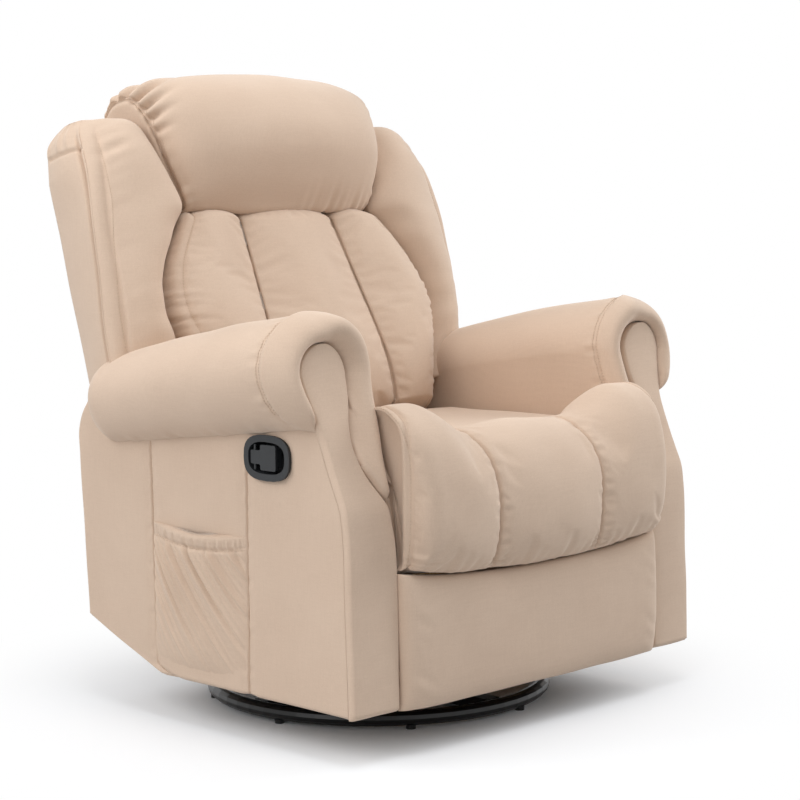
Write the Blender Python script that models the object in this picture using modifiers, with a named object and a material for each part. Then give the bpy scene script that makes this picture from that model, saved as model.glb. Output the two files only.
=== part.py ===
"""Swivel rocker recliner with rolled arms, as an assembly of separate pieces.

Metres, +Z up. The chair faces -Y and the sitter's right hand is at -X. The origin is on the floor, on the
swivel axis, under the middle of the chair. Each moving group hangs on an empty that lies on its joint's axis.
"""

import math

import bmesh
import bpy
from mathutils import Matrix, Vector

# Clearances
SEAT_GAP = 0.0003          # between a piece and the piece that carries it
PIVOT_GAP = 0.0003         # radial gap of a rivet in its hole
PAD_SIDE_GAP = 0.008       # between the seat pads and the arms
BACK_PAD_GAP = 0.004       # between the seat cushion and the back cushion

# Arms
ARM_OUTER = 0.400          # half width over the side panels
ARM_INNER = 0.305          # half width between the arms
ARM_FRONT = -0.350         # at the foot
ARM_FRONT_LEAN = 0.040     # the front edge leans back by this share of its height
ARM_REAR = 0.305
ARM_BOTTOM = 0.076
ARM_KINK = 0.090           # where the lower edge starts to rise towards the rear
ARM_REAR_BOTTOM = 0.150
ARM_REAR_SLOPE = 0.025     # the rear edge leans in by this much at its foot
ARM_SHOULDER = 0.453       # height of the rear shoulder
ROLL_FRONT = -0.262
ROLL_REAR = 0.262
ROLL_X = 0.369
ROLL_RADIUS = 0.090
ROLL_REAR_RADIUS = 0.068
ROLL_TOP = 0.672           # highest point of the roll, at its front
ROLL_SLOPE = 0.1015
ROLL_BEND = 0.165
ROLL_OVERHANG = 0.004      # the roll ends this far behind the panel's shoulder
ROLL_SEAT = 0.030          # the side panel reaches this far below the roll's middle
SWEEP_LOW = 0.350          # the front edge sweeps back between these two heights
SWEEP_HIGH = 0.538
SWEEP_STEPS = 8
FACING_WIDTH = 0.093
FACING_HEAD = 0.096
FACING_HEAD_SHIFT = 0.006  # the head lies this far outside the middle of the roll
FACING_TOP = 0.627
FACING_FOOT_RISE = 0.004   # the facing starts this far above the foot of the arm
FACING_DEPTH = 0.010
FACING_CROWN = 0.004

# Side pocket, on the sitter's right arm
POCKET_FRONT = -0.122
POCKET_REAR = 0.112
POCKET_TOP = 0.325
POCKET_FOOT = 0.092
POCKET_DEPTH = 0.013
POCKET_CLOTH = 0.003
POCKET_BEVEL = 0.002
POCKET_HEM = 0.008

# Release handle, on the sitter's right arm
CUP_Y = -0.178
CUP_Z = 0.4505
CUP_LENGTH = 0.104
CUP_HEIGHT = 0.070
CUP_DEPTH = 0.030
CUP_RIM = 0.011
CUP_LAP = 0.003            # the body reaches this far in under the rim
CUP_WALL = 0.0025
RIM_THICKNESS = 0.004
LEVER_THICKNESS = 0.005
LEVER_SINK = 0.0015
LEVER_GAP = 0.0042         # between the paddle and the rear end of the well
LEVER_SIDE_GAP = 0.005
LEVER_FINGER = 0.022       # length of the open finger space in front of the paddle
LEVER_STEM = 0.022
LEVER_STEM_HEIGHT = 0.021
LEVER_CORNER = 0.003
LEVER_LIP_DEPTH = 0.014
LEVER_LIP_THICKNESS = 0.004
LEVER_HINGE = 0.008        # from the paddle's rear end to its hinge
LEVER_PIN = 0.0022
OVAL_POWER = 0.72

# Swivel base
RING_RADIUS = 0.282
RING_TUBE = 0.0125
RING_STEPS = 56
GLIDE_COUNT = 8
GLIDE_TURN = 0.25          # the first glide stands this share of their spacing round from +x
GLIDE_HEIGHT = 0.007
GLIDE_LAP = 0.002          # the glides reach this far up into the ring
GLIDE_RADIUS = 0.008
CROSS_WIDTH = 0.028
CROSS_HEIGHT = 0.020
HUB_RADIUS = 0.080
HUB_THICKNESS = 0.0065
HUB_LAP = 0.004            # the hub plate is let this far into the cross
RACE_RADIUS = 0.085
RACE_THICKNESS = 0.0045
RACE_RIB = 0.003
RACE_TRACK = 0.062
RACE_TRACK_FOOT = 0.008    # half width of the raised track at its foot
RACE_TRACK_HEAD = 0.005
BOLT_RADIUS = 0.006
BOLT_HEAD = 0.012
BOLT_HEAD_HEIGHT = 0.007

# Rocker unit
ROCKER_PLATE = 0.005
ROCKER_PLATE_LENGTH = 0.210
ROCKER_X = 0.220           # middle of each rocker rail
ROCKER_WIDTH = 0.030
ROCKER_LENGTH = 0.340
ROCKER_PAD_LENGTH = 0.210
ROCKER_PAD_RISE = 0.0425   # height of the bearing pad over the plate
ROCKER_END_RISE = 0.005
CAM_RADIUS = 0.100         # the rocking axis is this far above the bearing pad
CAM_FLANK = 9.0            # degrees
CAM_LENGTH = 0.200
CAM_HEIGHT = 0.030
SPRING_Y = 0.137
SPRING_RADIUS = 0.012
SPRING_WIRE = 0.002
SPRING_TURNS = 5
SPRING_POINTS = 9          # points in each turn
SPRING_EASE = 0.25         # share of the climb that is level at the ends

# Wooden chassis
WOOD_BEVEL = 0.002
RAIL_WIDTH = 0.040
RAIL_HEIGHT = 0.050
RAIL_FRONT = -0.260
CROSS_RAIL_Y = -0.235
CROSS_RAIL_DEPTH = 0.035
STRETCHER_Y = 0.192
STRETCHER_DEPTH = 0.035
STRETCHER_RISE = 0.010     # over the foot of the arms
REAR_PANEL_DEPTH = 0.025
REAR_PANEL_LOW = 0.150
REAR_PANEL_HIGH = 0.270
REAR_PANEL_INSET = 0.003
REAR_PANEL_BEVEL = 0.006

# Recliner mechanism
STEEL = 0.0037             # thickness of plates and links
PLATE_FRONT = -0.300
PLATE_REAR = 0.245
PLATE_TOP = 0.372
PLATE_HEEL = 0.262
PLATE_HEEL_REAR = 0.120
PLATE_NOSE = 0.070         # depth of the plate at its front end
PLATE_TAIL = 0.028         # the plate reaches this far below the back's pivot
PLATE_MARGIN = 0.040       # and this far ahead of the swing pivot
PLATE_CORNER = 0.012
SWING_PIVOT = (-0.055, 0.290)
SWING_LENGTH = 0.185
SWING_START = -105.0       # degrees from straight ahead, positive up
CRANK_LENGTH = 0.045
CRANK_START = -137.5
THRUST_RUN = 0.200         # level part of the thrust link
BOARD_PIVOT = (-0.310, 0.200)
LINK_HALF = 0.009
RIVET = 0.004
RIVET_HEAD = 0.0065
RIVET_SHORT = 0.0005       # a rivet ends this far inside the outer face of the plate
TUBE_ARM = 0.050           # the torque tube sits this far along the swing link
TORQUE_TUBE = 0.009
BACK_PIVOT = (0.2035, 0.3385)

# Seat
SEAT_RAIL_TOP = 0.375
SEAT_RAIL_HEIGHT = 0.040
SEAT_RAIL_WIDTH = 0.035
SEAT_RAIL_X = 0.235
SEAT_FRONT_RAIL = (-0.290, -0.250)
SEAT_REAR_RAIL = (0.095, 0.130)
SEAT_WIRE = 0.0018
SEAT_WIRES = 3
SEAT_WIRE_PITCH = 0.150
SEAT_WIRE_SWING = 0.022
SEAT_WIRE_WAVES = 7
SEAT_WIRE_POINTS = 6       # points in each wave
SEAT_WIRE_INSET = 0.011    # the springs end this far inside the outer edges of the rails
SEAT_PAD_FRONT = -0.226
SEAT_CREASE = 0.006        # between the seat cushion and the front roll
SEAT_PAD_REAR = 0.118
SEAT_PAD_EDGE = 0.448
SEAT_PAD_CROWN = 0.022
BOLSTER_Y = -0.330
BOLSTER_Z = 0.390
BOLSTER_REACH = 0.101
BOLSTER_RISE = 0.133
BOLSTER_START = 28.0       # degrees round the roll, from its crease with the seat
BOLSTER_END = 249.0        # to the seam over the footrest
CHANNEL_SHARE = 0.45       # the sewn channels lie this share of the half width from the middle
CHANNEL_DROP = 0.11
BOLSTER_ROUND = 0.70       # past this share of its half width the roll draws in towards its ends
BOLSTER_END_DRAW = 0.074   # by this much at its front
BOLSTER_END_FALL = 0.022   # and by this much at its crest
BOLSTER_SEAM_RISE = 0.016  # its lower seam rises by this much towards both ends
LINING_RISE = 0.030        # the roll's lining: height of its rear edge over the springs
LINING_EASE = 0.004        # its clearance over the front rail
LINING_STEP = 0.012        # and ahead of it
LINING_DROP = 0.020
LINING_LEAN = 0.040        # how far ahead of the rail it runs down to the lower seam
LINING_HEM = 0.012         # width of the lower seam
BOLSTER_SADDLE = 0.17      # the middle channel's crest is lower by this share

# Footrest
BOARD_FRONT = -0.352
BOARD_THICKNESS = 0.015
BOARD_LOW = 0.085
BOARD_HIGH = 0.246
BOARD_HALF = 0.282
FOOT_PAD_LOW = 0.079
FOOT_PAD_HIGH = 0.259
FOOT_PAD_HALF = 0.297
FOOT_PAD_EDGE = 0.012
FOOT_PAD_CROWN = 0.017
BRACKET_LEG = 0.012
BRACKET_FLARE = 0.012      # the bracket's plate widens by this much towards the board
BRACKET_HEEL = 0.010       # above the control pivot
BRACKET_NOSE = 0.014       # behind the board pivot
BRACKET_CORNER = 0.003
BRACKET_FOOT = 0.030       # width of the foot that lies on the board

# Back, in its own leaning frame: X across, Y rearwards, Z up the back, from the back's pivot
BACK_LEAN = 17.0
FRAME_FRONT = -0.021
FRAME_REAR = 0.0137
POST_X = 0.205
POST_WIDTH = 0.030
POST_LOW = -0.035
POST_HIGH = 0.640
BACK_RAIL_HEIGHT = 0.045
BACK_RAIL_LOW = 0.060
BACK_RAIL_HIGH = 0.570
BACK_BRACKET_TOP = 0.200
BACK_BRACKET_EYE = 0.0135  # half width of the bracket round its rivet
BACK_BRACKET_NECK = 0.040  # height at which it meets the post
BACK_BRACKET_CORNER = 0.004
OUTER_PANEL = 0.014
OUTER_LOW = -0.030
OUTER_NECK = 0.264         # half width of the outside back between the arms
OUTER_STEP = 0.240         # above this the outside back spreads over the arms
OUTER_STEP_RISE = 0.010    # the step's slanting edge
OUTER_HALF = 0.376
OUTER_ARCH = 0.600
OUTER_TOP = 0.686
LUMBAR_LOW = 0.085
LUMBAR_HIGH = 0.482
LUMBAR_WIDTHS = ((0.085, 0.255), (0.160, 0.265), (0.240, 0.294), (0.300, 0.308), (0.370, 0.292), (0.440, 0.250),
                 (0.482, 0.221))   # half widths by height up the back
LUMBAR_FOOT_DEPTH = 0.105
LUMBAR_HEAD_DEPTH = 0.068
LUMBAR_EDGE = 0.060
LUMBAR_SEAM_SHARE = 0.80   # depth left at the channel seams
LUMBAR_SIDE_SHARE = 0.62   # depth left along the sides
BACK_CHANNEL_SHARE = 0.42
PILLOW_LOW = 0.488
PILLOW_HIGH = 0.744
PILLOW_WIDTHS = ((0.488, 0.222), (0.540, 0.238), (0.600, 0.264), (0.640, 0.280), (0.690, 0.288), (0.744, 0.232))
PILLOW_DEPTH = 0.108
PILLOW_EDGE = 0.078
PILLOW_CORNER = 0.045      # the top falls by this much towards both ends
PILLOW_TOP_SHARE = 0.5
PILLOW_TOP_CROWN = 0.60    # share of its depth left at the top
PILLOW_STEP_LOW = 0.030    # over the posts its back steps to the rear between these heights
PILLOW_STEP_HIGH = 0.060
WING_LOW = 0.246
WING_HIGH = 0.648
WING_OUTER = 0.410
WING_REAR = 0.378          # half width over the wings at the outside back
WING_TOP_SHARE = 0.91
WING_TOP_FALL = 0.026      # the top falls by this much towards the outside
WING_GAP = 0.003
WING_FLANGE = -0.088
WING_INNER = -0.100
WING_FRONT = -0.146

SIDES = {"left": 1, "right": -1}

# Heights that follow from the stack of pieces over the floor
RING_Z = GLIDE_HEIGHT + RING_TUBE - GLIDE_LAP
CROSS_LOW = RING_Z - CROSS_HEIGHT / 2
HUB_TOP = CROSS_LOW + CROSS_HEIGHT + HUB_THICKNESS
RACE_LOW = HUB_TOP + SEAT_GAP
RACE_MIDDLE = RACE_LOW + RACE_THICKNESS + RACE_RIB
RACE_UPPER = RACE_MIDDLE + SEAT_GAP
ROCKER_LOW = RACE_UPPER + RACE_THICKNESS + SEAT_GAP
ROCKER_TOP = ROCKER_LOW + ROCKER_PLATE
PAD_TOP = ROCKER_TOP + ROCKER_PAD_RISE
CAM_LOW = PAD_TOP + SEAT_GAP
CAM_TOP = CAM_LOW + CAM_HEIGHT
ROCK_AXIS = CAM_LOW + CAM_RADIUS
RAIL_LOW = CAM_TOP + SEAT_GAP
RAIL_TOP = RAIL_LOW + RAIL_HEIGHT

# Planes of the mechanism, from the arm inwards
PLATE_OUTER = ARM_INNER - SEAT_GAP
PLATE_INNER = PLATE_OUTER - STEEL
LAYER = STEEL + SEAT_GAP
SWING_X = PLATE_INNER - LAYER
THRUST_X = SWING_X - LAYER
CONTROL_X = THRUST_X - LAYER
BRACKET_X = CONTROL_X - LAYER
PAD_HALF = ARM_INNER - PAD_SIDE_GAP
BOARD_REAR = BOARD_FRONT + BOARD_THICKNESS

# The release handle's cup body, its well and the paddle's hinge
CUP_FACE = -ARM_OUTER - SEAT_GAP
BODY_LENGTH = CUP_LENGTH - 2 * CUP_RIM + 2 * CUP_LAP
BODY_HEIGHT = CUP_HEIGHT - 2 * CUP_RIM + 2 * CUP_LAP
WELL_LENGTH = BODY_LENGTH - 2 * CUP_WALL
WELL_HEIGHT = BODY_HEIGHT - 2 * CUP_WALL
LEVER_TOP = CUP_FACE - RIM_THICKNESS + LEVER_SINK
LEVER_REAR = CUP_Y + WELL_LENGTH / 2 - LEVER_GAP
LEVER_AXIS = (LEVER_TOP + LEVER_THICKNESS / 2, LEVER_REAR - LEVER_HINGE, CUP_Z)


def ahead(point, degrees, length):
    """The (y, z) point a length away, at an angle counted up from straight ahead, which is -Y."""
    angle = math.radians(degrees)
    return (point[0] - length * math.cos(angle), point[1] + length * math.sin(angle))


SWING_END = ahead(SWING_PIVOT, SWING_START, SWING_LENGTH)
CRANK_END = ahead(SWING_END, CRANK_START, CRANK_LENGTH)
CONTROL_PIVOT = ahead(BOARD_PIVOT, CRANK_START, CRANK_LENGTH)
TUBE_PLACE = ahead(SWING_PIVOT, SWING_START, TUBE_ARM)

PARTS = None
CUTTERS = None


def clear_scene():
    for obj in list(bpy.data.objects):
        bpy.data.objects.remove(obj)


def new_collection(name):
    collection = bpy.data.collections.new(name)
    bpy.context.scene.collection.children.link(collection)
    return collection


def new_material(name, colour, roughness, metallic=0.0):
    material = bpy.data.materials.new(name)
    material.use_nodes = True
    shader = material.node_tree.nodes["Principled BSDF"]
    shader.inputs["Base Color"].default_value = (*colour, 1.0)
    shader.inputs["Roughness"].default_value = roughness
    shader.inputs["Metallic"].default_value = metallic
    return material


def world_of(empty):
    return Matrix.Translation(empty.location) @ Matrix.Rotation(empty.rotation_euler.x, 4, "X")


def hang(obj, empty, local=False):
    """Parent an object and its cutters to a joint's empty, in place unless made in the empty's own frame."""
    obj.parent = empty
    if not local:
        obj.matrix_parent_inverse = world_of(empty).inverted()
    for modifier in obj.modifiers:
        if modifier.type == "BOOLEAN":
            hang(modifier.object, empty, local)
    return obj


def joint_empty(name, place, parent=None, lean=0.0):
    empty = bpy.data.objects.new(name, None)
    PARTS.objects.link(empty)
    empty.location = place
    empty.rotation_euler.x = -math.radians(lean)
    if parent is not None:
        hang(empty, parent)
    return empty


def take(obj, name, material):
    """Name a new object, give it its finish and move it to the parts."""
    obj.name = name
    obj.data.name = name
    obj.data.materials.clear()
    obj.data.materials.append(material)
    for collection in list(obj.users_collection):
        collection.objects.unlink(obj)
    PARTS.objects.link(obj)
    return obj


def as_cutter(obj):
    for collection in list(obj.users_collection):
        collection.objects.unlink(obj)
    CUTTERS.objects.link(obj)
    obj.hide_render = True
    obj.display_type = "WIRE"
    return obj


def boolean(obj, other, operation):
    modifier = obj.modifiers.new(operation.title(), "BOOLEAN")
    modifier.operation = operation
    modifier.object = as_cutter(other)
    return obj


def block(name, low, high, material, bevel=0.0):
    """A box between two corners, with its edges rounded."""
    low, high = Vector(low), Vector(high)
    bpy.ops.mesh.primitive_cube_add(size=1.0, location=(low + high) / 2)
    obj = bpy.context.object
    obj.scale = high - low
    bpy.ops.object.transform_apply(location=False, rotation=False, scale=True)
    if bevel:
        rounding = obj.modifiers.new("Bevel", "BEVEL")
        rounding.width = bevel
        rounding.segments = 2
    return take(obj, name, material)


def rod(name, start, end, radius, material, sides=20):
    """A round bar between two points."""
    start, end = Vector(start), Vector(end)
    line = end - start
    bpy.ops.mesh.primitive_cylinder_add(vertices=sides, radius=radius, depth=line.length, location=(start + end) / 2)
    obj = bpy.context.object
    obj.rotation_mode = "QUATERNION"
    obj.rotation_quaternion = line.to_track_quat("Z", "Y")
    obj.data.shade_smooth()
    obj.data.set_sharp_from_angle(angle=math.radians(40))
    return take(obj, name, material)


def turned(name, profile, material, steps=40):
    """A profile of (radius, height) points, listed down its outer side, turned about Z."""
    mesh = bpy.data.meshes.new(name)
    count = len(profile)
    edges = [(i, (i + 1) % count) for i in range(count)]
    mesh.from_pydata([(r, 0.0, z) for r, z in profile], edges, [])
    obj = bpy.data.objects.new(name, mesh)
    PARTS.objects.link(obj)
    screw = obj.modifiers.new("Screw", "SCREW")
    screw.steps = steps
    screw.render_steps = steps
    screw.use_merge_vertices = True
    screw.merge_threshold = 0.00001
    mesh.materials.append(material)
    return obj


def circle(centre, radius, count=14):
    steps = [2 * math.pi * i / count for i in range(count)]
    return [(centre[0] + radius * math.cos(a), centre[1] + radius * math.sin(a)) for a in steps]


def rounded(corners, radius, count=5):
    """An outline with each corner of a polygon replaced by an arc of this radius."""
    outline = []
    total = len(corners)
    for i, corner in enumerate(corners):
        here = Vector(corner)
        before = (Vector(corners[i - 1]) - here).normalized()
        after = (Vector(corners[(i + 1) % total]) - here).normalized()
        half = before.angle(after) / 2
        reach = radius / math.tan(half)
        middle = here + (before + after).normalized() * (radius / math.sin(half))
        first = here + before * reach - middle
        last = here + after * reach - middle
        sweep = first.angle_signed(last)
        for k in range(count + 1):
            turn = Matrix.Rotation(-sweep * k / count, 2)
            outline.append(tuple(middle + turn @ first))
    return outline


def strip_outline(path, half, count=8):
    """The outline of a flat bar of this half width along a path, with round ends and mitred bends."""
    points = [Vector(p) for p in path]
    runs = [(b - a).normalized() for a, b in zip(points, points[1:])]
    sides = [[], []]
    for i, point in enumerate(points):
        along = runs[max(i - 1, 0)] + runs[min(i, len(runs) - 1)]
        along.normalize()
        stretch = half / along.dot(runs[min(i, len(runs) - 1)])
        across = Vector((-along.y, along.x)) * stretch
        sides[0].append(point + across)
        sides[1].append(point - across)
    outline = [tuple(p) for p in sides[0][1:-1]]
    for end, start in ((points[-1], sides[0][-1]), (points[0], sides[1][0])):
        for k in range(count + 1):
            turn = Matrix.Rotation(-math.pi * k / count, 2)
            outline.append(tuple(end + turn @ (start - end)))
        if end is points[-1]:
            outline.extend(tuple(p) for p in reversed(sides[1][1:-1]))
    return outline


def curve_to_mesh(obj):
    """The same piece as a closed mesh, so that it can be cut and joined."""
    bpy.context.view_layer.update()
    graph = bpy.context.evaluated_depsgraph_get()
    mesh = bpy.data.meshes.new_from_object(obj.evaluated_get(graph))
    shape = bmesh.new()
    shape.from_mesh(mesh)
    bmesh.ops.remove_doubles(shape, verts=shape.verts, dist=0.000002)
    bmesh.ops.recalc_face_normals(shape, faces=shape.faces)
    shape.to_mesh(mesh)
    shape.free()
    name = obj.name
    made = bpy.data.objects.new(name, mesh)
    made.matrix_world = obj.matrix_world.copy()
    bpy.data.objects.remove(obj)
    made.name = name
    PARTS.objects.link(made)
    return made


def flat(name, outlines, thickness, material):
    """A sheet cut to an outline, with any further outlines as holes, lying in XY about Z = 0."""
    curve = bpy.data.curves.new(name, "CURVE")
    curve.dimensions = "2D"
    curve.fill_mode = "BOTH"
    curve.extrude = thickness / 2
    for outline in outlines:
        spline = curve.splines.new("POLY")
        spline.points.add(len(outline) - 1)
        for point, (u, v) in zip(spline.points, outline):
            point.co = (u, v, 0.0, 1.0)
        spline.use_cyclic_u = True
    curve.materials.append(material)
    obj = bpy.data.objects.new(name, curve)
    PARTS.objects.link(obj)
    return obj


def side_plate(name, outlines, x_low, x_high, material):
    """A plate across X whose outline is given as (y, z) points."""
    obj = flat(name, outlines, x_high - x_low, material)
    obj.location.x = (x_low + x_high) / 2
    obj.rotation_euler = (math.pi / 2, 0.0, math.pi / 2)
    return curve_to_mesh(obj)


def tube(name, points, radius, material, resolution=1):
    curve = bpy.data.curves.new(name, "CURVE")
    curve.dimensions = "3D"
    curve.bevel_depth = radius
    curve.bevel_resolution = resolution
    curve.use_fill_caps = True
    spline = curve.splines.new("POLY")
    spline.points.add(len(points) - 1)
    for point, place in zip(spline.points, points):
        point.co = (*place, 1.0)
    curve.materials.append(material)
    obj = bpy.data.objects.new(name, curve)
    PARTS.objects.link(obj)
    return obj


def closed_mesh(name, points, faces, material):
    mesh = bpy.data.meshes.new(name)
    shape = bmesh.new()
    corners = [shape.verts.new(p) for p in points]
    for face in faces:
        shape.faces.new([corners[i] for i in face])
    bmesh.ops.recalc_face_normals(shape, faces=shape.faces)
    shape.to_mesh(mesh)
    shape.free()
    mesh.shade_smooth()
    mesh.set_sharp_from_angle(angle=math.radians(45))
    mesh.materials.append(material)
    obj = bpy.data.objects.new(name, mesh)
    PARTS.objects.link(obj)
    return obj


def loft(name, rings, material):
    """A skin over rings of equally many points, closed by a face at each end."""
    count = len(rings[0])
    points = [p for ring in rings for p in ring]
    faces = [list(range(count)), list(range(len(points) - count, len(points)))]
    for k in range(len(rings) - 1):
        for i in range(count):
            j = (i + 1) % count
            faces.append([k * count + i, k * count + j, (k + 1) * count + j, (k + 1) * count + i])
    return closed_mesh(name, points, faces, material)


def pad(name, across, along, outer, inner, material):
    """A stuffed piece between an outer and an inner surface, each a function of the two given parameters."""
    columns, rows = len(across), len(along)
    size = columns * rows
    points = [surface(a, b) for surface in (outer, inner) for b in along for a in across]
    faces = []
    for j in range(rows - 1):
        for i in range(columns - 1):
            quad = [j * columns + i, j * columns + i + 1, (j + 1) * columns + i + 1, (j + 1) * columns + i]
            faces.append(quad)
            faces.append([size + k for k in quad])
    rim = [i for i in range(columns)]
    rim += [j * columns + columns - 1 for j in range(1, rows)]
    rim += [size - 1 - i for i in range(1, columns)]
    rim += [j * columns for j in range(rows - 2, 0, -1)]
    for here, there in zip(rim, rim[1:] + rim[:1]):
        faces.append([here, there, size + there, size + here])
    return closed_mesh(name, points, faces, material)


def spread(low, high, steps):
    return [low + (high - low) * i / steps for i in range(steps + 1)]


def mix(low, high, share):
    return low + (high - low) * share


def smooth(low, high, value):
    share = min(max((value - low) / (high - low), 0.0), 1.0)
    return share * share * (3 - 2 * share)


def panel_places(edges, steps):
    """Parameters over sewn panels, closer together near the seams between them."""
    places = []
    for low, high in zip(edges, edges[1:]):
        places += [mix(low, high, (1 - math.cos(math.pi * i / steps)) / 2) for i in range(steps)]
    return places + [edges[-1]]


def panel_crown(value, edges):
    """0 on a seam and 1 in the middle of a panel, round in between."""
    for low, high in zip(edges, edges[1:]):
        if low <= value <= high:
            share = 2 * (value - low) / (high - low) - 1
            return math.sqrt(max(1 - share * share, 0.0))
    return 0.0


def arch(share):
    """0 at both ends of 0 to 1 and 1 in the middle, with full sides."""
    return math.sqrt(math.sqrt(max(1 - (2 * share - 1) ** 4, 0.0)))


def front_edge(z):
    """The arm's front edge: nearly upright below, swept back to the roll's front above."""
    upright = ARM_FRONT + ARM_FRONT_LEAN * (z - ARM_BOTTOM)
    return mix(upright, ROLL_FRONT, smooth(SWEEP_LOW, SWEEP_HIGH, z))


def roll_radius(y):
    share = (y - ROLL_FRONT) / (ROLL_REAR - ROLL_FRONT)
    return mix(ROLL_RADIUS, ROLL_REAR_RADIUS, share * share)


def roll_middle(y):
    back = y - ROLL_FRONT
    return ROLL_TOP - ROLL_SLOPE * back - ROLL_BEND * back * back - roll_radius(y)


def base_ring(material, parent):
    bpy.ops.mesh.primitive_torus_add(
        major_radius=RING_RADIUS, minor_radius=RING_TUBE, major_segments=RING_STEPS, minor_segments=12,
        location=(0, 0, RING_Z))
    ring = take(bpy.context.object, "base_ring", material)
    ring.data.shade_smooth()
    for i in range(GLIDE_COUNT):
        angle = 2 * math.pi * (i + GLIDE_TURN) / GLIDE_COUNT
        x, y = RING_RADIUS * math.cos(angle), RING_RADIUS * math.sin(angle)
        glide = rod(f"glide_{i}", (x, y, 0), (x, y, GLIDE_HEIGHT), GLIDE_RADIUS, material, 12)
        boolean(ring, glide, "UNION")
    hang(ring, parent)


def base_cross(material, parent):
    """Two square tubes welded across the ring under a hub plate, drilled for the swivel bolt."""
    half = CROSS_WIDTH / 2
    inside = (RING_RADIUS - RING_TUBE) * math.cos(math.pi / RING_STEPS) - SEAT_GAP
    reach = math.sqrt(inside ** 2 - half ** 2)
    high = CROSS_LOW + CROSS_HEIGHT
    cross = block("base_cross", (-reach, -half, CROSS_LOW), (reach, half, high), material)
    other = block("cross_bar", (-half, -reach, CROSS_LOW), (half, reach, high), material)
    hub = rod("cross_hub", (0, 0, high - HUB_LAP), (0, 0, HUB_TOP), HUB_RADIUS, material, 32)
    bore = rod("cross_bore", (0, 0, 0), (0, 0, PAD_TOP), BOLT_RADIUS + PIVOT_GAP, material, 16)
    boolean(cross, other, "UNION")
    boolean(cross, hub, "UNION")
    boolean(cross, bore, "DIFFERENCE")
    hang(cross, parent)


def races(steel, fixed, turning):
    """The two pressed plates of the swivel bearing, the lower one with its raised ball track."""
    hole = BOLT_RADIUS + PIVOT_GAP
    low, top = RACE_LOW, RACE_LOW + RACE_THICKNESS
    foot_in, foot_out = RACE_TRACK - RACE_TRACK_FOOT, RACE_TRACK + RACE_TRACK_FOOT
    head_in, head_out = RACE_TRACK - RACE_TRACK_HEAD, RACE_TRACK + RACE_TRACK_HEAD
    lower = turned("lower_race", [
        (hole, top), (foot_in, top), (head_in, RACE_MIDDLE), (head_out, RACE_MIDDLE), (foot_out, top),
        (RACE_RADIUS, top), (RACE_RADIUS, low), (hole, low)], steel)
    upper = turned("upper_race", [
        (hole, RACE_UPPER + RACE_THICKNESS), (RACE_RADIUS, RACE_UPPER + RACE_THICKNESS),
        (RACE_RADIUS, RACE_UPPER), (hole, RACE_UPPER)], steel)
    hang(lower, fixed)
    hang(upper, turning)
    head_low = ROCKER_TOP + SEAT_GAP
    bolt = turned("swivel_bolt", [
        (0, head_low + BOLT_HEAD_HEIGHT), (BOLT_HEAD, head_low + BOLT_HEAD_HEIGHT), (BOLT_HEAD, head_low),
        (BOLT_RADIUS, head_low), (BOLT_RADIUS, CROSS_LOW), (0, CROSS_LOW)], steel, 16)
    hang(bolt, fixed)


def rocker_base(steel, parent):
    """The pressed platform on the turntable: a plate with a rail at each side, high in the middle for the cam."""
    half = ROCKER_PLATE_LENGTH / 2
    edge = ROCKER_X + ROCKER_WIDTH / 2
    base = block("rocker_base", (-edge, -half, ROCKER_LOW), (edge, half, ROCKER_TOP), steel)
    end, pad_end = ROCKER_LENGTH / 2, ROCKER_PAD_LENGTH / 2
    spring_seat = ROCKER_TOP + ROCKER_END_RISE
    outline = [(-end, ROCKER_LOW), (end, ROCKER_LOW), (end, spring_seat), (pad_end, spring_seat),
               (pad_end, PAD_TOP), (-pad_end, PAD_TOP), (-pad_end, spring_seat), (-end, spring_seat)]
    for side, sign in SIDES.items():
        x = sign * ROCKER_X
        rail = side_plate(f"rocker_rail_{side}", [outline], x - ROCKER_WIDTH / 2, x + ROCKER_WIDTH / 2, steel)
        boolean(base, rail, "UNION")
    bore = rod("rocker_bore", (0, 0, 0), (0, 0, PAD_TOP), BOLT_RADIUS + PIVOT_GAP, steel, 16)
    boolean(base, bore, "DIFFERENCE")
    hang(base, parent)


def coil(low, high, radius, wire, turns):
    """A closed-end coil spring's wire from one height to another, with its ends level."""
    points = []
    count = turns * SPRING_POINTS
    first, last = low + wire, high - wire
    for i in range(count + 1):
        share = i / count
        angle = 2 * math.pi * turns * share
        climb = mix(share, smooth(0.0, 1.0, share), SPRING_EASE)
        points.append((radius * math.cos(angle), radius * math.sin(angle), mix(first, last, climb)))
    apart = min((Vector(p) - Vector(q)).length for i, p in enumerate(points) for q in points[i + 2 * SPRING_POINTS // 3:])
    print(f"least gap between the spring's turns: {1000 * (apart - 2 * wire):.2f} mm")
    return points


def rocker_springs(steel, parent):
    low = ROCKER_TOP + ROCKER_END_RISE + SEAT_GAP
    wire = coil(low, CAM_TOP, SPRING_RADIUS, SPRING_WIRE, SPRING_TURNS)
    for side, sign in SIDES.items():
        for place, y in (("front", -SPRING_Y), ("rear", SPRING_Y)):
            spring = tube(f"rocker_spring_{place}_{side}", wire, SPRING_WIRE, steel)
            spring.location = (sign * ROCKER_X, y, 0)
            hang(spring, parent)


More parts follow.
